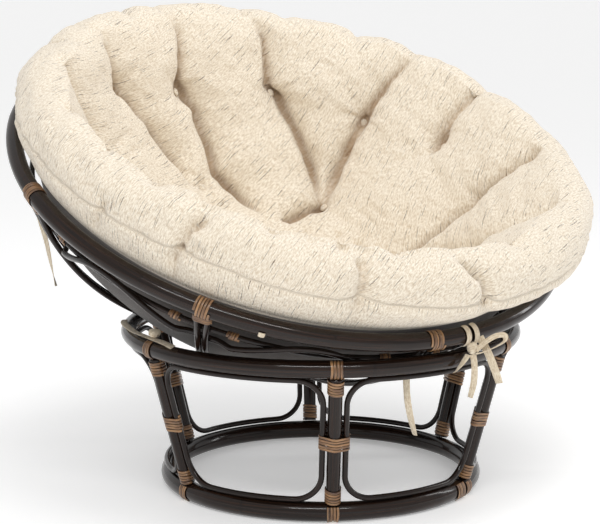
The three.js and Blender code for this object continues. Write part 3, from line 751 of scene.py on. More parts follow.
def knot_patches(centre, size, lead):
    """A tight knot: a gathered core and three bands of tape pulled round it at different leans.

    The core is an ellipsoid whose radius is 1 plus two waves that run slantwise round it. Each
    band is an ellipse whose radius is 1 plus a wave of three crests.
    """
    core, uv = ball(30, 54, np.eye(3))
    polar, turn = uv[:, :-1, 0], uv[:, :-1, 1]
    gather = 0.13 * np.sin(6 * turn + 2.6 * polar) + 0.07 * np.sin(4 * turn - 3.9 * polar)
    core = core * (1 + gather * np.sin(polar))[..., None]
    patches = [Patch(centre + core * np.array(size) * 0.84, uv * size[0] + (lead, 0))]
    angle = np.arange(40) * TURN / 40
    for index, (lean, swing) in enumerate(KNOT_BANDS):
        first = np.array([math.cos(swing), math.sin(swing), 0])
        second = np.cross(first, UP) * math.cos(lean) + UP * math.sin(lean)
        outs = first * np.cos(angle)[:, None] + second * np.sin(angle)[:, None]
        reach = 0.88 + 0.03 * index + 0.07 * np.sin(3 * angle + 2 * index)[:, None]
        path = centre + outs * np.array(size) * reach
        patches.append(sweep(path, unit(outs), tape_section(size[0] * 0.95), True,
                             lead=lead + 0.1 * index))
    return patches


FRONT_KNOT = np.array([57, -386.3, 313.7]) * MM + STAND_AXIS
FRONT_KNOT_SIZE = (0.0094, 0.0090, 0.0106)
RING_KNOT_SIZE = (0.0105, 0.0085, 0.0075)
# Pixels of the photograph, with the twist of the two small tapes in radians
BOW_EAR = ([(476, 351), (484, 343), (495, 336), (504, 335), (504, 341), (495, 347), (484, 352),
            (476, 354)], 0.9)
SHORT_TAIL = ([(468, 355), (462, 363), (455, 372)], 0.5)
RING_KNOT_PIXEL = (154.5, 333)
RIM_TAPE_PIXEL = (262, 337)
SMALL_TAPE_WIDTH = 0.0105
SMALL_TAPE_STEPS = 40
SMALL_TAPE_BULGE = 0.006
ON_RIM = 0.0016
ON_FIRST_BAND = 0.0034


def rim_band(azimuth, first, last, clear, lead):
    """A tape that lies round the rim at one azimuth, from one angle of its section to another."""
    angle = np.radians(np.linspace(first, last, 26))[:, None]
    outwards = heading(azimuth)
    normal = outwards * np.cos(angle) + UP * np.sin(angle)
    path = outwards * RIM - UP * RIM_DROP + normal * (RIM_POLE / 2 + clear)
    return tape(in_chair(path), turned_in_chair(normal), TAPE_WIDTH, lead=lead)


def add_knots():
    """The knots and the small tapes beside them, where the photograph shows them.

    Returns the pieces that belong to each hanging tie.
    """
    place = (FRONT_KNOT - BOWL_CENTRE) @ BOWL_TO_CHAIR
    azimuth = math.atan2(place[0], -place[1])
    front_knot = make_piece("front_tie_knot", knot_patches(FRONT_KNOT, FRONT_KNOT_SIZE, 0.1), TAPE,
                            "bowl", ["tie_front_knot"])
    patches = [rim_band(azimuth - 0.012, 108, -62, ON_RIM, 0.5),
               rim_band(azimuth + 0.020, 104, -66, ON_FIRST_BAND, 0.7)]
    near = FRONT_KNOT - AHEAD * 0.004
    bulge = np.sin(np.linspace(0, math.pi, SMALL_TAPE_STEPS))[:, None] * SMALL_TAPE_BULGE
    facing = np.tile(unit(UP - AHEAD * 0.6), (SMALL_TAPE_STEPS, 1))
    for index, (pixels, twist) in enumerate((BOW_EAR, SHORT_TAIL)):
        path = smooth_through([seen_at(pixel, near) for pixel in pixels], SMALL_TAPE_STEPS)
        patches.append(tape(path - AHEAD * bulge, facing, SMALL_TAPE_WIDTH, twist,
                            lead=1.1 + index))
    bow = make_piece("front_tie_bow", patches, TAPE, "bowl")

    azimuths = np.radians(np.arange(-80, 40, 0.5))
    rim = in_chair(heading(azimuths) * RIM - UP * RIM_DROP)
    at = azimuths[nearest_seen(rim, RIM_TAPE_PIXEL)]
    make_piece("rim_tie_end", [rim_band(at, -8, -100, ON_RIM, 0.9)], TAPE, "bowl")

    route = smooth_through(tie_points("ring_tie_left"), TIE_STEPS)
    centre = seen_at(RING_KNOT_PIXEL, route[nearest_seen(route, RING_KNOT_PIXEL)])
    ring_knot = make_piece("ring_tie_knot", knot_patches(centre, RING_KNOT_SIZE, 0.6), TAPE,
                           "stand")
    return {"front_tie_tail": [front_knot, bow], "ring_tie_left": [ring_knot]}


add_ties(add_knots())


# The stand

POST_AZIMUTHS = (np.arange(POSTS) + 0.5) * TURN / POSTS
LOWER_HEIGHT = LOWER_POLE / 2
SLOPE_RUN = UPPER_RING - LOWER_RING
SLOPE_RISE = UPPER_HEIGHT - LOWER_HEIGHT
SLOPE = math.hypot(SLOPE_RUN, SLOPE_RISE)
FROM_LOWER = LOWER_POLE / 2 + GAP
FROM_UPPER = UPPER_POLE / 2 + GAP


def slope_radius(along):
    return LOWER_RING + SLOPE_RUN * along / SLOPE


def slope_point(azimuth, along):
    """A point on the cone between the two rings' centre lines, along metres up from the lower."""
    azimuth, along = np.broadcast_arrays(np.asarray(azimuth, float), np.asarray(along, float))
    radius = slope_radius(along)
    return (heading(azimuth) * radius[..., None] + STAND_AXIS
            + UP * (LOWER_HEIGHT + SLOPE_RISE * along / SLOPE)[..., None])


def slope_axes(azimuth):
    """Across, up and out of the slope at one azimuth."""
    outwards = heading(azimuth)
    up = unit(outwards * SLOPE_RUN + UP * SLOPE_RISE)
    across = np.stack([-outwards[..., 1], outwards[..., 0], np.zeros_like(outwards[..., 0])], -1)
    return across, up, unit(np.cross(across, up))


def ring_path(radius, height, steps):
    """A level circle round the stand's axis, and its outward directions."""
    azimuth = np.arange(steps) * TURN / steps
    return heading(azimuth) * radius + STAND_AXIS + UP * height, heading(azimuth)


def add_stand_rings():
    path, outs = ring_path(LOWER_RING, LOWER_HEIGHT, 180)
    make_piece("lower_ring_pole", [pole(path, outs, LOWER_POLE / 2, True, 1.0, 32)],
               POLE_LACQUER, "stand", ["lower_ring"])
    path, outs = ring_path(UPPER_RING, UPPER_HEIGHT, 200)
    make_piece("upper_ring_pole", [pole(path, outs, UPPER_POLE / 2, True, 2.0, 32)],
               POLE_LACQUER, "stand", ["upper_ring"])


def add_post(azimuth, number):
    """A straight pole on the slope, its ends coped towards the two rings."""
    along = np.linspace(FROM_LOWER, SLOPE - FROM_UPPER, 60)
    path = slope_point(azimuth, along)
    outs = np.tile(slope_axes(azimuth)[2], (len(path), 1))
    make_piece(f"post_pole_{number}", [pole(path, outs, POST_POLE / 2, seed=number * 1.7)],
               POLE_LACQUER, "stand", [f"post_{number}"])


def brace_path(azimuth):
    """A rounded frame on the slope: straight runs, and four corners that are quarter circles.

    One upright side is worked out as angles from the bay's middle, and the other mirrors it.
    """
    low, high = FROM_LOWER + CANE / 2, SLOPE - FROM_UPPER - CANE / 2
    quarter = np.linspace(0, math.pi / 2, 14)
    inset = CANE_CORNER * (1 - np.sin(quarter))
    rise = CANE_CORNER * (1 - np.cos(quarter))
    side_runs = np.linspace(low + CANE_CORNER, high - CANE_CORNER, 16)[1:-1]

    def side(along, into):
        radius = slope_radius(along)
        return TURN / POSTS / 2 - np.arcsin(CANE_TO_POST / radius) - into / radius

    up_along = np.concatenate([low + rise, side_runs, (high - rise)[::-1]])
    up_angle = side(up_along, np.concatenate([inset, 0 * side_runs, inset[::-1]]))
    shares = np.linspace(-1, 1, 22)[1:-1]
    low_run = shares * up_angle[0]
    high_run = -shares * up_angle[-1]
    angle = np.concatenate([low_run, up_angle, high_run, -up_angle[::-1]])
    along = np.concatenate([0 * low_run + low, up_along, 0 * high_run + high, up_along[::-1]])
    path = slope_point(azimuth + angle, along)
    return path, slope_axes(azimuth + angle)[2]


def add_brace(azimuth, number):
    path, outs = brace_path(azimuth)
    make_piece(f"brace_cane_{number}", [pole(path, outs, CANE / 2, True, number * 0.9, 16)],
               CANE_LACQUER, "stand", [f"brace_loop_{number}"])


def hull_outline(circles, count):
    """Points round the tight outline of circles (centre, radius), evenly spaced along it."""
    angle = np.arange(720) * TURN / 720
    normal = np.stack([np.cos(angle), np.sin(angle)], 1)
    centres = np.array([centre for centre, _ in circles])
    radii = np.array([radius for _, radius in circles])
    furthest = np.argmax(normal @ centres.T + radii, 1)
    points = centres[furthest] + normal * radii[furthest][:, None]
    steps = np.linalg.norm(np.roll(points, -1, 0) - points, axis=1)
    run = np.concatenate([[0], np.cumsum(steps)])
    at = np.arange(count) * run[-1] / count
    closed = np.vstack([points, points[:1]])
    return np.stack([np.interp(at, run, closed[:, 0]), np.interp(at, run, closed[:, 1])], 1)


def wound_turns(origin, axes, outline, turns, lead, pitch=PEEL_PITCH):
    """Turns of peel round an outline: a screw line, each turn pitch metres on from the last.

    Point = origin + across * x + out * y + up * along, where (x, y) goes round the outline and
    along grows evenly, with a small wave for the slack of a hand-wound turn.
    """
    across, up, out = axes
    count = len(outline)
    total = int(count * turns)
    step = np.arange(total + 1)
    corner = step % count
    along = (step / total - 0.5) * turns * pitch
    along = along + PEEL_SLACK * np.sin(step * TURN / count * 0.5 + lead * 40)
    flat = outline[corner]
    ahead = outline[(corner + 1) % count] - outline[corner - 1]
    normal = unit(np.stack([ahead[:, 1], -ahead[:, 0]], 1))
    normal = normal * np.sign(np.sum(normal * flat, 1, keepdims=True))
    path = origin + across * flat[:, :1] + out * flat[:, 1:] + up * along[:, None]
    outs = across * normal[:, :1] + out * normal[:, 1:]
    return strand(path, outs, lead)


# Straps over a ring: their first and last angle from its outer side, in degrees, and how many
TOP_STRAPS = (-52, 84, 4)
BOTTOM_STRAPS = (-52, 46, 4)
SPLICE_STRAPS = (-56, 48, 5)


def ring_straps(centre, axes, flip, clear, straps, lead):
    """Strands that lie over a ring's outer side, beside each other: arcs of radius clear.

    The angles grow upwards, or downwards where flip is -1.
    """
    across, up, out = axes
    first, last, count = straps
    angle = np.radians(np.linspace(first, last, 16))
    normal = out * np.cos(angle)[:, None] + up * flip * np.sin(angle)[:, None]
    patches = []
    for strap in range(count):
        shift = (strap - (count - 1) / 2) * STRAP_PITCH
        wander = shift * (1 + 0.05 * np.sin(angle * 3 + strap * 2 + lead * 9))
        path = centre + across * wander[:, None] + normal * clear
        patches.append(strand(path, normal, lead + 0.07 * strap))
    return patches


def add_post_lashings(azimuth, number):
    """Top, middle and bottom lashings of one post."""
    axes = slope_axes(azimuth)
    post = hull_outline([((0, 0), POST_POLE / 2 + GAP)], 28)
    from_end = (LASHING_TURNS + 1) * PEEL_PITCH / 2
    patches = [wound_turns(slope_point(azimuth, SLOPE - FROM_UPPER - from_end), axes, post,
                           LASHING_TURNS, number * 0.31)]
    patches += ring_straps(slope_point(azimuth, SLOPE), axes, 1, FROM_UPPER, TOP_STRAPS,
                           number * 0.3)
    make_piece(f"top_peel_{number}", patches, PEEL, "stand", [f"top_lashing_{number}"])

    set_back = CANE_TO_POST ** 2 / (2 * slope_radius(SLOPE / 2))
    cane = CANE / 2 + GAP
    oval = hull_outline([((0, 0), POST_POLE / 2 + GAP), ((CANE_TO_POST, -set_back), cane),
                         ((-CANE_TO_POST, -set_back), cane)], 48)
    middle = wound_turns(slope_point(azimuth, SLOPE / 2), axes, oval, LASHING_TURNS,
                         number * 0.53 + 0.1)
    make_piece(f"middle_peel_{number}", [middle], PEEL, "stand",
               [f"middle_lashing_{number}"])

    patches = [wound_turns(slope_point(azimuth, FROM_LOWER + from_end), axes, post,
                           LASHING_TURNS, number * 0.71 + 0.2)]
    patches += ring_straps(slope_point(azimuth, 0), axes, -1, FROM_LOWER, BOTTOM_STRAPS,
                           number * 0.4)
    make_piece(f"bottom_peel_{number}", patches, PEEL, "stand",
               [f"bottom_lashing_{number}"])


SPLICE_AZIMUTH = math.radians(24)


def add_splice():
    """Strands round the outer side of the lower ring, over the joint of its pole."""
    outwards = heading(SPLICE_AZIMUTH)
    across = np.array([-outwards[1], outwards[0], 0.0])
    centre = outwards * LOWER_RING + STAND_AXIS + UP * LOWER_HEIGHT
    patches = ring_straps(centre, (across, UP, outwards), 1, FROM_LOWER, SPLICE_STRAPS, 0.9)
    make_piece("splice_peel", patches, PEEL, "stand", ["lower_ring_splice_wrap"])


GLIDE = 0.018
GLIDE_OUTWARDS = 0.004
# A glide's outline from the floor up: share of its radius, and height
GLIDE_OUTLINE = np.array([(0.55, 0.0), (0.85, 0.0004), (1.0, 0.0018), (1.0, 0.0042),
                          (0.8, 0.0052)])


def add_glides():
    """A domed nylon button under the lower ring at each post: its outline turned round."""
    angle = np.arange(28) * TURN / 28
    radius, height = GLIDE_OUTLINE[:, :1] * GLIDE / 2, GLIDE_OUTLINE[:, 1:] + 0 * angle
    for number, azimuth in enumerate(POST_AZIMUTHS, 1):
        x, y, _ = heading(azimuth) * (LOWER_RING + GLIDE_OUTWARDS) + STAND_AXIS
        points = np.stack([x + radius * np.cos(angle), y + radius * np.sin(angle), height], -1)
        uv = np.zeros((len(GLIDE_OUTLINE), len(angle) + 1, 2))
        make_piece(f"glide_{number}", [Patch(points, uv)], NYLON, "stand")


def add_stand():
    add_stand_rings()
    for index, azimuth in enumerate(POST_AZIMUTHS):
        add_post(azimuth, index + 1)
        add_brace(azimuth + TURN / POSTS / 2, index + 1)
        add_post_lashings(azimuth, index + 1)
    add_splice()
    add_glides()


add_stand()


# The frame of the bowl

RIB_AZIMUTHS = BOWL_TURN + np.arange(RIB_PAIRS) * TURN / RIB_PAIRS


def bowl_point(azimuth, line, polar):
    """A point of the bowl's own frame: line metres from the centre, polar up from its bottom."""
    azimuth, line, polar = np.broadcast_arrays(azimuth, line, polar)
    level = heading(azimuth) * (line * np.sin(polar))[..., None]
    return level - UP * (line * np.cos(polar))[..., None]


def polar_at(depth, line):
    """Polar angle of a circle of the sphere, depth under the rim's plane."""
    return np.arccos((RIM_DROP + depth) / line)


def level_circle(radius, height, steps):
    """A circle round the bowl's axis, and its outward directions."""
    azimuth = BOWL_TURN + np.arange(steps) * TURN / steps
    return heading(azimuth) * radius + UP * height, heading(azimuth)


def bowl_pole(path, outs, radius, closed, seed, count=16):
    return pole(in_chair(path), turned_in_chair(outs), radius, closed, seed, count)


def add_rim():
    path, outs = level_circle(RIM, -RIM_DROP, 280)
    make_piece("rim_pole", [bowl_pole(path, outs, RIM_POLE / 2, True, 3.0, 32)],
               POLE_LACQUER, "bowl", ["rim"])


def add_hoops():
    polar = polar_at(HOOP_DEPTH, HOOP_LINE)
    path, outs = level_circle(HOOP_LINE * math.sin(polar), -HOOP_LINE * math.cos(polar), 220)
    make_piece("middle_hoop_cane", [bowl_pole(path, outs, HOOP / 2, True, 4.0)],
               CANE_LACQUER, "bowl", ["middle_hoop"])
    path, outs = level_circle(BOTTOM_HOOP, -math.sqrt(HOOP_LINE ** 2 - BOTTOM_HOOP ** 2), 90)
    make_piece("bottom_hoop_cane", [bowl_pole(path, outs, HOOP / 2, True, 5.0)],
               CANE_LACQUER, "bowl", ["bottom_hoop"])


PETAL_LOW = 0.099
PETAL_HIGH = 0.036
RIM_POLAR = math.asin(RIM / RIM_LINE)
LASHED_RIM = RIM_POLE / 2 + PEEL_THICK + 0.0018
RIB_TOP = RIM_POLAR - math.asin(LASHED_RIM / RIB_LINE)
RIB_NECK = polar_at(PETAL_LOW, RIB_LINE)
RIB_BEND = math.asin(BOTTOM_HOOP / RIB_LINE)
RIB_SPLAY = math.asin(2.3 * BOTTOM_HOOP / RIB_LINE)


def rib_spread(polar):
    """Half the distance between a pair's two canes, from the hairpin bend up to the rim."""
    opening = smoothstep(polar, RIB_NECK, RIB_TOP)
    splay = 1 - smoothstep(polar, RIB_BEND, RIB_SPLAY)
    return (RIB_SPREAD + (RIB_SPREAD_AT_RIM - RIB_SPREAD) * opening
            + (RIB_LOOP - RIB_SPREAD) * splay)


def rib_path(azimuth):
    """One cane: down from the rim, round a hairpin bend near the bottom, and up beside itself."""
    polar = np.linspace(RIB_TOP, RIB_BEND, 60)
    spread = rib_spread(polar)
    turn = np.linspace(0, math.pi, 14)[1:-1]
    polar = np.concatenate([polar, RIB_BEND - RIB_LOOP * np.sin(turn) / RIB_LINE, polar[::-1]])
    spread = np.concatenate([spread, RIB_LOOP * np.cos(turn), -spread[::-1]])
    across = heading(azimuth + TURN / 4)
    path = bowl_point(azimuth, RIB_LINE, polar) + across * spread[:, None]
    return unit(path) * RIB_LINE


def add_rib_pair(azimuth, number):
    path = rib_path(azimuth)
    make_piece(f"rib_canes_{number}", [bowl_pole(path, unit(path), RIB / 2, False, number * 1.3)],
               CANE_LACQUER, "bowl", [f"rib_pair_{number}"])


def petal_path():
    """The petal cane: its depth swings between PETAL_LOW and PETAL_HIGH once in each bay.

    It is inside the hoop's line where it is low, at the ribs, and outside it where it is high.
    """
    share = np.linspace(0, RIB_PAIRS, 400, endpoint=False)
    wave = (1 - np.cos(share * TURN)) / 2
    depth = PETAL_LOW + (PETAL_HIGH - PETAL_LOW) * wave ** 1.4
    outside = smoothstep(wave, 0.03, 0.2)
    line = HOOP_LINE - GAP + (RIB_LINE + 0.0006 - HOOP_LINE) * outside
    azimuth = BOWL_TURN + share * TURN / RIB_PAIRS
    return bowl_point(azimuth, line, polar_at(depth, line))


def add_petals():
    path = petal_path()
    make_piece("petal_canes", [bowl_pole(path, unit(path), HOOP / 2, True, 6.0)],
               CANE_LACQUER, "bowl", ["petal_cane"])


# The front and back pairs meet the upper ring at the ends of the tilt, so they have no neck.
PAIRS_WITHOUT_NECK = (1, 5)
NECK_BELOW_TOP = 0.006


def add_rim_lashing(azimuth, number):
    """Turns round the rim over a rib pair, then a neck of turns round the two canes."""
    outwards, beside = heading(azimuth), heading(azimuth + TURN / 4)
    round_rim = hull_outline([((0, 0), RIM_POLE / 2 + GAP)], 30)
    axes = [turned_in_chair(axis) for axis in (outwards, beside, UP)]
    centre = in_chair(outwards * RIM - UP * RIM_DROP)
    patches = [wound_turns(centre, axes, round_rim, LASHING_TURNS, number * 0.43)]
    if number not in PAIRS_WITHOUT_NECK:
        polar = RIB_TOP - NECK_BELOW_TOP / RIB_LINE
        spread = float(rib_spread(np.array(polar)))
        pair = hull_outline([((spread, 0), RIB / 2 + GAP), ((-spread, 0), RIB / 2 + GAP)], 36)
        place = bowl_point(azimuth, RIB_LINE, polar)
        down = outwards * math.cos(polar) + UP * math.sin(polar)
        axes = [turned_in_chair(axis) for axis in (beside, -down, unit(place))]
        patches.append(wound_turns(in_chair(place), axes, pair, NECK_TURNS, number * 0.57 + 0.3))
    make_piece(f"rim_peel_{number}", patches, PEEL, "bowl", [f"rim_lashing_{number}"])


HOOP_LASHING_AT = math.radians(6.3)
HOOP_PITCH = 0.0052


def add_hoop_lashings():
    """Small lashings on the middle hoop, beside each rib pair."""
    polar = float(polar_at(HOOP_DEPTH, HOOP_LINE))
    outline = hull_outline([((0, 0), HOOP / 2 + GAP)], 24)
    patches = []
    for index, azimuth in enumerate(RIB_AZIMUTHS):
        for side in (-1, 1):
            at = azimuth + side * HOOP_LASHING_AT
            axes = [turned_in_chair(axis) for axis in (heading(at), heading(at + TURN / 4), UP)]
            centre = in_chair(bowl_point(at, HOOP_LINE, polar))
            patches.append(wound_turns(centre, axes, outline, HOOP_TURNS, index * 0.37 + side,
                                       HOOP_PITCH))
    make_piece("hoop_peel", patches, PEEL, "bowl")


def add_bowl_frame():
    add_rim()
    add_hoop_lashings()
    add_hoops()
    for index, azimuth in enumerate(RIB_AZIMUTHS):
        add_rib_pair(azimuth, index + 1)
        add_rim_lashing(azimuth, index + 1)
    add_petals()


add_bowl_frame()


# The cushion

# Its form: a sphere in the bowl, a roll over the rim, and a hollow with the bowl's own centre
ROLL = 0.065
ROLL_CENTRE = RIM - 0.032
ROLL_RISE = 0.074
ROLL_RISE_TO_FRONT = 0.019
ROLL_DROP_TO_RIGHT = 0.009
ROLL_SHIFT = 0.020
CUSHION_LINE = HOOP_LINE - HOOP / 2 - 2 * GAP
HOLLOW = CUSHION_LINE - 0.131
FLANK_INSET = 0.016
RIM_KEEP = 0.0230

# The grid that is filled, and the finer one that is shown
CUSHION_COLS = 320
CUSHION_ROWS = 168
FINE_COLS = 620
FINE_ROWS = 300
UNDER_ROWS = 30
UNDER_SHARE = 0.40
# Places of the fine rows, as shares of the profile: few underneath, most on the roll and hollow.
ROW_SHARES = np.concatenate([np.linspace(0, UNDER_SHARE, UNDER_ROWS, endpoint=False),
                             np.linspace(UNDER_SHARE, 1, FINE_ROWS - UNDER_ROWS)])
# Shares of the profile between which the folds and the filling begin
UPPER_FROM, UPPER_FULL = 0.42, 0.50
# Painted shade: the share of the profile below which the underside is painted near black.
UNDERSIDE_SHADE_SHARE = 0.415

# How the filling swells it
START_SMALLER = 0.004
PIN_WIDTH = 0.009
PRESSURE = 4.0
FILLING_STEPS = 20
FURTHEST_MOVE = 0.024
HOLD_LEVELS = 12


def roll_height(azimuth):
    """Height of the roll's middle over the rim's plane: more at the front, less on the right."""
    return (ROLL_RISE + ROLL_RISE_TO_FRONT * np.cos(azimuth)
            - ROLL_DROP_TO_RIGHT * np.sin(azimuth))


def cushion_profile(azimuth):
    """Guide points of the profile at each azimuth: (radius, height over the rim's plane).

    Under: a sphere that lies in the bowl. Flank: inside the rim. Wrap: round the rim. Roll: a
    circle over the rim. Hollow: a sphere with the bowl's own centre.
    """
    lift = roll_height(azimuth)
    centre = ROLL_CENTRE + ROLL_SHIFT * np.sin(azimuth)
    level = np.ones_like(azimuth)
    rows = []
    for polar in np.radians([5, 14, 24, 34, 43, 50]):
        rows.append((CUSHION_LINE * math.sin(polar) * level,
                     (RIM_DROP - CUSHION_LINE * math.cos(polar)) * level))
    for share, rise in ((0.928, -0.2), (0.94, -0.05)):
        rows.append(((share * RIM - FLANK_INSET) * level, rise * RIM_DROP * level))
    for degrees, keep in ((165, 1.25), (122, 1.1)):
        across, up = math.cos(math.radians(degrees)), math.sin(math.radians(degrees))
        rows.append(((RIM + across * RIM_KEEP * keep) * level, up * RIM_KEEP * keep * level))
    for angle in np.radians([-28, -8, 14, 36, 58, 80, 102, 120]):
        rows.append((centre + ROLL * math.cos(angle), lift + ROLL * math.sin(angle)))
    for polar in np.radians([60, 53, 45, 36, 27, 18, 9, 3]):
        rows.append((HOLLOW * math.sin(polar) * level,
                     (RIM_DROP - HOLLOW * math.cos(polar)) * level))
    return np.stack([np.stack(row, -1) for row in rows], 1)


def cushion_grid():
    """The cushion's plain form in the bowl's frame, (rows, columns, 3), from bottom to middle.

    Each column is a smooth curve through its guide points, cut into even steps.
    """
    azimuth = np.arange(CUSHION_COLS) * TURN / CUSHION_COLS
    guides = cushion_profile(azimuth).transpose(1, 0, 2)
    fine = smooth_through(guides, 600)
    steps = np.linalg.norm(np.diff(fine, axis=0), axis=2).mean(1)
    run = np.concatenate([[0], np.cumsum(steps)])
    even = np.linspace(0, run[-1], CUSHION_ROWS)
    index = np.clip(np.searchsorted(run, even) - 1, 0, len(run) - 2)
    share = ((even - run[index]) / (run[index + 1] - run[index]))[:, None, None]
    profile = fine[index] * (1 - share) + fine[index + 1] * share
    radius, height = profile[..., 0], profile[..., 1]
    return heading(azimuth)[None] * radius[..., None] + UP * (height - RIM_DROP)[..., None]


def grid_normals(points):
    """Outward normals of the cushion's grid, whose first rows look down."""
    along = np.gradient(points, axis=0)
    across = np.roll(points, -1, 1) - np.roll(points, 1, 1)
    normals = unit(np.cross(along, across))
    return normals if normals[10, :, 2].sum() < 0 else -normals


PLAIN = cushion_grid()
PLAIN_NORMALS = grid_normals(PLAIN)
CUSHION_TREE = BVHTree.FromPolygons(in_chair(PLAIN.reshape(-1, 3)).tolist(),
                                    grid_quads(CUSHION_ROWS, CUSHION_COLS, False)[2].tolist())


def on_cushion(pixels):
    """Where pixels of the photograph meet the plain cushion, in the bowl's frame."""
    hits = [CUSHION_TREE.ray_cast(Vector(CAMERA_AT), Vector(ray_of(pixel)))[0] for pixel in pixels]
    return [(np.array(hit) - BOWL_CENTRE) @ BOWL_TO_CHAIR for hit in hits if hit is not None]


# Folds that the photograph shows: depth and half width in metres, whether the fold goes on over
# the roll and down its outer side, and its pixels, outer end first.
PHOTO_FOLDS = [
    (0.028, 0.021, True, [(92, 23), (113, 46), (128, 78), (145, 104), (163, 129), (184, 154),
                          (197, 178)]),
    (0.036, 0.021, True, [(163, 7), (182, 31), (186, 60), (187, 80), (203, 107), (216, 142),
                          (222, 166), (241, 184), (262, 207)]),
    (0.034, 0.020, True, [(243, 9), (266, 36), (270, 60), (272, 81), (287, 107), (300, 132),
                          (312, 162), (321, 195)]),
    (0.036, 0.020, True, [(407, 59), (390, 75), (375, 92), (360, 115), (348, 138), (338, 160),
                          (323, 195)]),
    (0.028, 0.019, True, [(472, 88), (457, 102), (445, 115), (437, 130), (425, 153)]),
    (0.020, 0.015, False, [(500, 163), (487, 174), (473, 191)]),
    (0.028, 0.016, False, [(322, 196), (308, 203), (292, 212), (284, 216)]),
    (0.012, 0.014, False, [(236, 192), (226, 201), (219, 210)]),
    (0.024, 0.013, False, [(219, 199), (203, 214), (188, 226), (181, 239), (175, 253),
                           (170, 264), (174, 278), (181, 289)]),
    (0.012, 0.012, False, [(196, 247), (187, 256), (181, 264)]),
    (0.024, 0.013, False, [(357, 240), (364, 255), (368, 275), (366, 295), (358, 314),
                           (350, 328)]),
    (0.018, 0.008, False, [(338, 234), (344, 243), (350, 250)]),
    (0.022, 0.013, False, [(463, 255), (477, 266), (488, 280), (492, 296), (489, 308),
                           (484, 317)]),
    (0.014, 0.010, False, [(101, 200), (98, 210), (94, 221), (92, 228)]),
    (0.010, 0.012, False, [(97, 146), (110, 143), (123, 141)]),
    (0.010, 0.012, False, [(300, 220), (305, 228), (311, 238)]),
]
# The folds that the photograph doesn't show: azimuth at the edge and of the tuft, in degrees.
HIDDEN_FOLDS = [(-124, -113), (-100, -113), (-66, -53), (-38, -53), (-12, 7), (18, 7), (46, 67),
                (74, 67)]
HIDDEN_FOLD_DEPTH, HIDDEN_FOLD_WIDTH = 0.032, 0.020
EDGE_RADIUS, OUTER_TUFTS, INNER_TUFTS = 0.485, 0.372, 0.220
# Notches of the outer edge between two long folds, as pixels of the photograph.
EDGE_NOTCHES = [(65, 34), (134, 12), (284, 13), (354, 34)]
NOTCH_DEPTH, NOTCH_WIDTH = 0.010, 0.016
OVER_EDGE_ROWS = (5, 10, 14, 18)
# The share of a long fold, from its outer end, that stays shallow, because the outline there is
# nearly smooth.
OUTLINE_SHARE = 0.30
SHALLOW_LEFT = 0.12
FOLD_BOTTOM = 0.22

# Depth and half width in metres, points in the bowl's frame, and the share that stays shallow
Fold = namedtuple("Fold", "depth width line shallow")


def profile_at(azimuth):
    """The column of the plain form at an azimuth."""
    return PLAIN[:, int(round(azimuth / TURN * CUSHION_COLS)) % CUSHION_COLS]


def over_edge(point):
    """Points that carry a fold on over the roll and down its outer side, at one azimuth."""
    profile = profile_at(math.atan2(point[0], -point[1]))
    nearest = int(np.argmin(np.linalg.norm(profile - point, axis=1)))
    wanted = [nearest - step for step in OVER_EDGE_ROWS]
    return [profile[row] for row in wanted if row > CUSHION_ROWS * UNDER_SHARE]


def hollow_point(azimuth, radius):
    """The plain form's inner side at an azimuth and a distance from the bowl's axis."""
    profile = profile_at(azimuth)
    inside = profile[int(np.argmax(profile[:, 2])):]
    return inside[int(np.argmin(np.abs(np.linalg.norm(inside[:, :2], axis=1) - radius)))]


def all_folds():
    """The folds that the photograph shows, the hidden ones and the notches of the edge."""
    folds = []
    for depth, width, goes_over, pixels in PHOTO_FOLDS:
        points = on_cushion(pixels)
        if goes_over:
            points = over_edge(points[0])[::-1] + points
        folds.append(Fold(depth, width, np.array(points), OUTLINE_SHARE if goes_over else 0.0))
    for edge, tuft in HIDDEN_FOLDS:
        share = np.linspace(0, 1, 16)
        azimuth = np.radians(edge + (tuft - edge) * smoothstep(share, 0.35, 1))
        radius = EDGE_RADIUS + (INNER_TUFTS - EDGE_RADIUS) * share
        points = np.array([hollow_point(*at) for at in zip(azimuth, radius)])
        folds.append(Fold(HIDDEN_FOLD_DEPTH, HIDDEN_FOLD_WIDTH, points, 0.0))
    for start in on_cushion(EDGE_NOTCHES):
        points = np.array([start] + over_edge(start))
        folds.append(Fold(NOTCH_DEPTH, NOTCH_WIDTH, points, 0.0))
    return folds


def fold_pull(points, fold, lengths):
    """How deep one fold pulls the surface in at each point.

    It is depth * exp(-distance / width) with a rounded bottom, nearly nothing along the shallow
    share at its outer end, and fading at its inner end.
    """
    whole = lengths.sum()
    full_from = fold.shallow + (0.34 if fold.shallow else 0.08)
    nearest = np.full(len(points), np.inf)
    strength = np.zeros(len(points))
    reached = 0.0
    for start, end, length in zip(fold.line[:-1], fold.line[1:], lengths):
        step = end - start
        share = np.clip((points - start) @ step / max(length ** 2, 1e-12), 0, 1)
        distance = np.linalg.norm(points - start - share[:, None] * step, axis=1)
        at = (reached + share * length) / whole
        outer = SHALLOW_LEFT + (1 - SHALLOW_LEFT) * smoothstep(at, fold.shallow - 0.06, full_from)
        inner = smoothstep(1 - at, -0.08, 0.12)
        closer = distance < nearest
        nearest = np.where(closer, distance, nearest)
        strength = np.where(closer, np.minimum(outer, inner), strength)
        reached += length
    rounded = np.sqrt((nearest / fold.width) ** 2 + FOLD_BOTTOM ** 2) - FOLD_BOTTOM
    return fold.depth * strength * np.exp(-rounded)


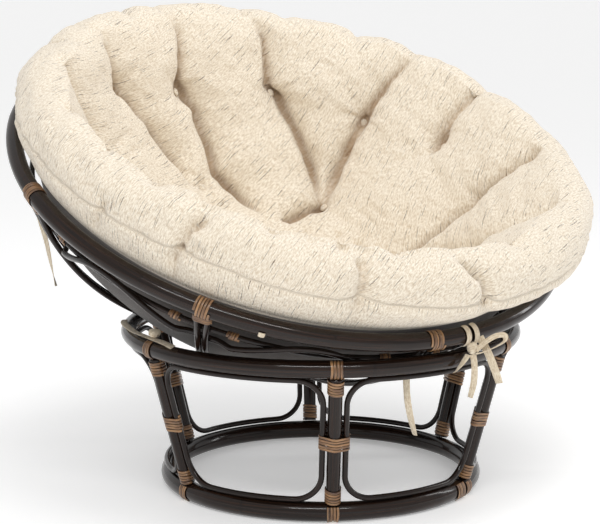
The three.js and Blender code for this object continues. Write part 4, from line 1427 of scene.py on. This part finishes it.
def fold_depth(points, folds):
    """How deep all folds pull the surface in: the fourth root of the sum of fourth powers."""
    flat = points.reshape(-1, 3)
    total = np.zeros(len(flat))
    for fold in folds:
        lengths = np.linalg.norm(np.diff(fold.line, axis=0), axis=1)
        from_middle = np.linalg.norm(flat - fold.line.mean(0), axis=1)
        close = from_middle < lengths.sum() + 6 * fold.width
        total[close] += fold_pull(flat[close], fold, lengths) ** 4
    return total.reshape(points.shape[:-1]) ** 0.25


# Tufts: where a button pulls the cushion through, as pixels; the rest are by azimuth, one outer
# tuft on each hidden fold and an inner ring, one of which is a pixel's, and one in the middle.
TUFT_PIXELS = [(360, 115), (275, 91), (322, 196), (187, 92), (130, 84), (437, 130)]
INNER_RING = range(7, 367, 60)
SEEN_IN_INNER_RING = 127
TUFT_DEPTH = 0.036
TUFT_WIDTH = 0.017


def tuft_places():
    places = on_cushion(TUFT_PIXELS)
    places += [hollow_point(math.radians(edge), OUTER_TUFTS) for edge, _ in HIDDEN_FOLDS]
    places += [hollow_point(math.radians(degrees), INNER_TUFTS) for degrees in INNER_RING
               if degrees != SEEN_IN_INNER_RING]
    return places + [PLAIN[-1].mean(0)]


def tuft_depth(points):
    """Round dimples, falling off as exp(-distance / width), each with seven pulled rays."""
    flat = points.reshape(-1, 3)
    total = np.zeros(len(flat))
    for index, place in enumerate(TUFTS):
        away = flat - place
        distance = np.linalg.norm(away, axis=1)
        azimuth = np.arctan2(away[:, 0], away[:, 1] + 0.3 * away[:, 2])
        rays = 0.5 + 0.5 * np.cos(azimuth * 7 + index * 1.9)
        dimple = TUFT_DEPTH * np.exp(-np.sqrt(distance ** 2 + 0.006 ** 2) / TUFT_WIDTH)
        pulled = 0.0035 * rays ** 3 * np.exp(-((distance - 0.03) / 0.022) ** 2)
        total = np.maximum(total, dimple) + pulled
    return total.reshape(points.shape[:-1])


def lumps(points, size, seed):
    """A smooth uneven field between about -1 and 1: six crossed waves of about one size."""
    rng = np.random.default_rng(seed)
    total = np.zeros(points.shape[:-1])
    for _ in range(6):
        direction = unit(rng.normal(size=3))
        phase = rng.uniform(0, TURN)
        total += np.sin(points @ direction * TURN / size * rng.uniform(0.7, 1.4) + phase)
    return total / 3


FOLDS = all_folds()
TUFTS = tuft_places()


def upper_share(shares):
    """0 on the underside and round the rim, 1 on the roll and in the hollow."""
    return smoothstep(shares, UPPER_FROM, UPPER_FULL)[:, None]


def quilted():
    """The plain form, pulled in along the folds and at the tufts, and how firmly it is held."""
    sunk = fold_depth(PLAIN, FOLDS)
    tufted = tuft_depth(PLAIN)
    upper = upper_share(np.linspace(0, 1, CUSHION_ROWS))
    uneven = 0.004 * lumps(PLAIN, 0.16, 5)
    out = upper * (uneven - sunk - tufted - START_SMALLER)
    pins = fold_depth(PLAIN, [fold._replace(width=PIN_WIDTH) for fold in FOLDS])
    held = np.clip(1 - upper + pins / 0.018 + tufted / 0.024, 0, 1)
    return PLAIN + PLAIN_NORMALS * out[..., None], held


def inflated(points, held):
    """The cover filled by a cloth simulation, at one pressure and without gravity.

    The underside, the folds and the tufts are held; no point moves further than FURTHEST_MOVE.
    """
    rows, cols = points.shape[:2]
    patch = Patch(points, np.zeros((rows, cols + 1, 2)))
    form = mesh_object("cushion_form", [patch])
    group = form.vertex_groups.new(name="held")
    underside_middle, hollow_middle = 1.0, 0.6
    weights = np.append(held.ravel(), [underside_middle, hollow_middle])
    levels = np.round(weights * HOLD_LEVELS).astype(int)
    for level in range(1, HOLD_LEVELS + 1):
        group.add(np.flatnonzero(levels == level).tolist(), level / HOLD_LEVELS, "REPLACE")
    cloth = form.modifiers.new("filling", "CLOTH")
    settings = cloth.settings
    settings.quality = 4
    settings.mass = 0.2
    settings.tension_stiffness = settings.compression_stiffness = 10
    settings.shear_stiffness = 4
    settings.bending_stiffness = 0.2
    settings.use_pressure = True
    settings.uniform_pressure_force = PRESSURE
    settings.effector_weights.gravity = 0
    settings.vertex_group_mass = group.name
    settings.pin_stiffness = 1
    cloth.point_cache.frame_end = FILLING_STEPS
    scene = bpy.context.scene
    for step in range(1, FILLING_STEPS + 1):
        scene.frame_set(step)
    filled = form.evaluated_get(bpy.context.evaluated_depsgraph_get())
    flat = np.empty(len(filled.data.vertices) * 3, np.float32)
    filled.data.vertices.foreach_get("co", flat)
    scene.frame_set(1)
    bpy.data.objects.remove(form)
    move = flat.reshape(-1, 3)[:rows * cols].reshape(points.shape) - points
    far = np.linalg.norm(move, axis=-1, keepdims=True)
    return points + move * np.minimum(1, FURTHEST_MOVE / np.maximum(far, 1e-9))


def refined(points):
    """The same surface with more rows and columns."""
    fine = smooth_through(points, FINE_ROWS, at=ROW_SHARES * (len(points) - 1))
    return smooth_through(fine.transpose(1, 0, 2), FINE_COLS, True).transpose(1, 0, 2)


# The seam between the top panel and the side band, in the photograph
SEAM_PIXELS = [(188, 259), (235, 278), (286, 295), (330, 301), (355, 303), (399, 300),
               (424, 301)]


def seam_row():
    """The fine row on which the seam lies, from where its pixels meet the plain form."""
    away = [np.linalg.norm(PLAIN - point, axis=-1) for point in on_cushion(SEAM_PIXELS)]
    rows = [np.unravel_index(np.argmin(distance), distance.shape)[0] for distance in away]
    return int(np.searchsorted(ROW_SHARES, np.median(rows) / (CUSHION_ROWS - 1)))


def run_of_rows(points):
    """Mean distance run along the profile at each row."""
    steps = np.linalg.norm(np.diff(points, axis=0), axis=2).mean(1)
    return np.concatenate([[0], np.cumsum(steps)])


CREASE_SHARE = 0.42
CREASE_WIDTH = 0.0032


def creases(plain):
    """The narrow bottoms of the folds, in metres of depth."""
    return fold_depth(plain, [Fold(fold.depth * CREASE_SHARE, CREASE_WIDTH + fold.depth * 0.03,
                                   fold.line, fold.shallow * 0.5) for fold in FOLDS])


def sewn(points, plain, seam, crease):
    """Fine detail: the seam's groove, small puckers beside it, and the creases in the folds.

    The groove is exp(-(distance / width) ** 2) deep, and so is the strip where the puckers are.
    """
    run = run_of_rows(points)
    from_seam = np.abs(run - run[seam])[:, None]
    groove = 0.0042 * np.exp(-(from_seam / 0.0035) ** 2)
    pucker = 0.0016 * np.exp(-(from_seam / 0.018) ** 2) * lumps(plain, 0.035, 3)
    small = 0.0014 * lumps(plain, 0.055, 9) + 0.0007 * lumps(plain, 0.027, 12)
    out = upper_share(ROW_SHARES) * (small + pucker - groove - crease)
    return points + grid_normals(points) * out[..., None]


CLOTH_LIE = math.radians(31)
BAND_LEAD = 3.0


def cushion_uv(points, seam):
    """UVs in metres.

    The top panel is laid flat round its middle, by the distance run from there, and turned to the
    cloth's lie. On the side band u runs across the band and v round the rim.
    """
    run = run_of_rows(points)
    azimuth = np.arange(FINE_COLS + 1) * TURN / FINE_COLS
    from_middle = (run[-1] - run)[:, None]
    x, y = from_middle * np.sin(azimuth), -from_middle * np.cos(azimuth)
    top = np.stack([x * math.cos(CLOTH_LIE) + y * math.sin(CLOTH_LIE),
                    y * math.cos(CLOTH_LIE) - x * math.sin(CLOTH_LIE)], -1)
    band = np.stack(np.broadcast_arrays(run[:, None], azimuth[None] * RIM + BAND_LEAD), -1)
    above = (np.arange(FINE_ROWS) >= seam)[:, None, None]
    return np.where(above, top, band)


BUTTON = 0.017
BUTTON_RISE = 0.0045
BUTTON_HALF_THICK = 0.0042


def add_buttons(points, plain):
    """A covered button in each tuft: a flattened ball that looks along the cover's normal."""
    normals = grid_normals(points)
    patches = []
    for index, place in enumerate(TUFTS):
        away = np.linalg.norm(plain - place, axis=-1)
        row, col = np.unravel_index(np.argmin(away), away.shape)
        out = unit(normals[max(row - 4, 0):row + 5, col - 2:col + 3].mean((0, 1)))
        side = unit(np.cross(out, [0.3, 0.9, 0.2]))
        button, uv = ball(12, 24, (side * BUTTON / 2, np.cross(out, side) * BUTTON / 2,
                                   out * BUTTON_HALF_THICK))
        middle = points[row, col] + out * BUTTON_RISE
        patches.append(Patch(in_chair(middle + button), uv * BUTTON / 2 + (index * 0.11, 0)))
    make_piece("tuft_buttons", patches, CHENILLE, "bowl")


def add_cushion():
    points, held = quilted()
    points = (inflated(in_chair(points), held) - BOWL_CENTRE) @ BOWL_TO_CHAIR
    seam = seam_row()
    plain = refined(PLAIN)
    crease = creases(plain)
    points = sewn(refined(points), plain, seam, crease)
    patch = Patch(in_chair(points), cushion_uv(points, seam))
    piece = make_piece("cushion_cover", [patch], CHENILLE, "bowl", ["cushion"])
    # Painted shade mask: 1 on the underside, which is painted near black.
    underside_shade = np.repeat(1 - smoothstep(ROW_SHARES, UNDERSIDE_SHADE_SHARE - 0.008, UNDERSIDE_SHADE_SHARE), FINE_COLS)
    # Painted shade mask: how deep each point lies in a crease or a tuft.
    fold_shade = np.clip(crease.ravel() / 0.011 + 0.35 * tuft_depth(plain).ravel() / 0.02, 0, 1)
    # Each mask's last two values are those of the middles of the underside and of the hollow.
    for name, values in (("underside_shade", np.append(underside_shade, [1, 0])),
                         ("fold_shade", np.append(fold_shade, [0, 0]))):
        mask = piece.data.attributes.new(name, "FLOAT", "POINT")
        mask.data.foreach_set("value", values.astype(np.float32))
    add_buttons(points, plain)


add_cushion()


# The floor and the light

FLOOR_HALF = 90.0
FLOOR_GREY = 0.93
FLOOR_GLOW = 0.28
WORLD_GLOW = 0.66
LIT_POINT = (0, 0, 0.4)
# Each softbox: its place, its sides in metres, and its watts
SOFTBOXES = {
    "overhead_softbox": ((0.1, -0.5, 3.0), (2.0, 1.2), 26),
    "strip_softbox": ((-1.5, -2.2, 2.7), (2.4, 0.09), 36),
    "right_softbox": ((2.6, -1.0, 1.7), (0.25, 1.8), 12),
}


def add_floor():
    signs = ((-1, -1), (1, -1), (1, 1), (-1, 1))
    corners = [(x * FLOOR_HALF, y * FLOOR_HALF, 0) for x, y in signs]
    mesh = bpy.data.meshes.new("studio_floor")
    mesh.from_pydata(corners, [], [(0, 1, 2, 3)])
    material = bpy.data.materials.new("studio_floor")
    material.use_nodes = True
    shader = material.node_tree.nodes["Principled BSDF"]
    shader.inputs["Base Color"].default_value = (FLOOR_GREY, FLOOR_GREY, FLOOR_GREY, 1)
    shader.inputs["Roughness"].default_value = 0.6
    shader.inputs["Emission Color"].default_value = (1, 1, 1, 1)
    shader.inputs["Emission Strength"].default_value = FLOOR_GLOW
    mesh.materials.append(material)
    floor = bpy.data.objects.new("studio_floor", mesh)
    bpy.context.scene.collection.objects.link(floor)


def add_light():
    """An even white world, and soft boxes that look at the chair's middle."""
    world = bpy.data.worlds.new("studio_world")
    world.use_nodes = True
    background = world.node_tree.nodes["Background"]
    background.inputs["Color"].default_value = (1, 1, 1, 1)
    background.inputs["Strength"].default_value = WORLD_GLOW
    bpy.context.scene.world = world
    for name, (place, size, power) in SOFTBOXES.items():
        data = bpy.data.lights.new(name, "AREA")
        data.shape = "RECTANGLE"
        data.size, data.size_y = size
        data.energy = power
        lamp = bpy.data.objects.new(name, data)
        lamp.location = place
        aim = Vector(LIT_POINT) - Vector(place)
        lamp.rotation_euler = aim.to_track_quat("-Z", "Y").to_euler()
        bpy.context.scene.collection.objects.link(lamp)


add_floor()
add_light()
bpy.context.scene.view_settings.view_transform = "Standard"
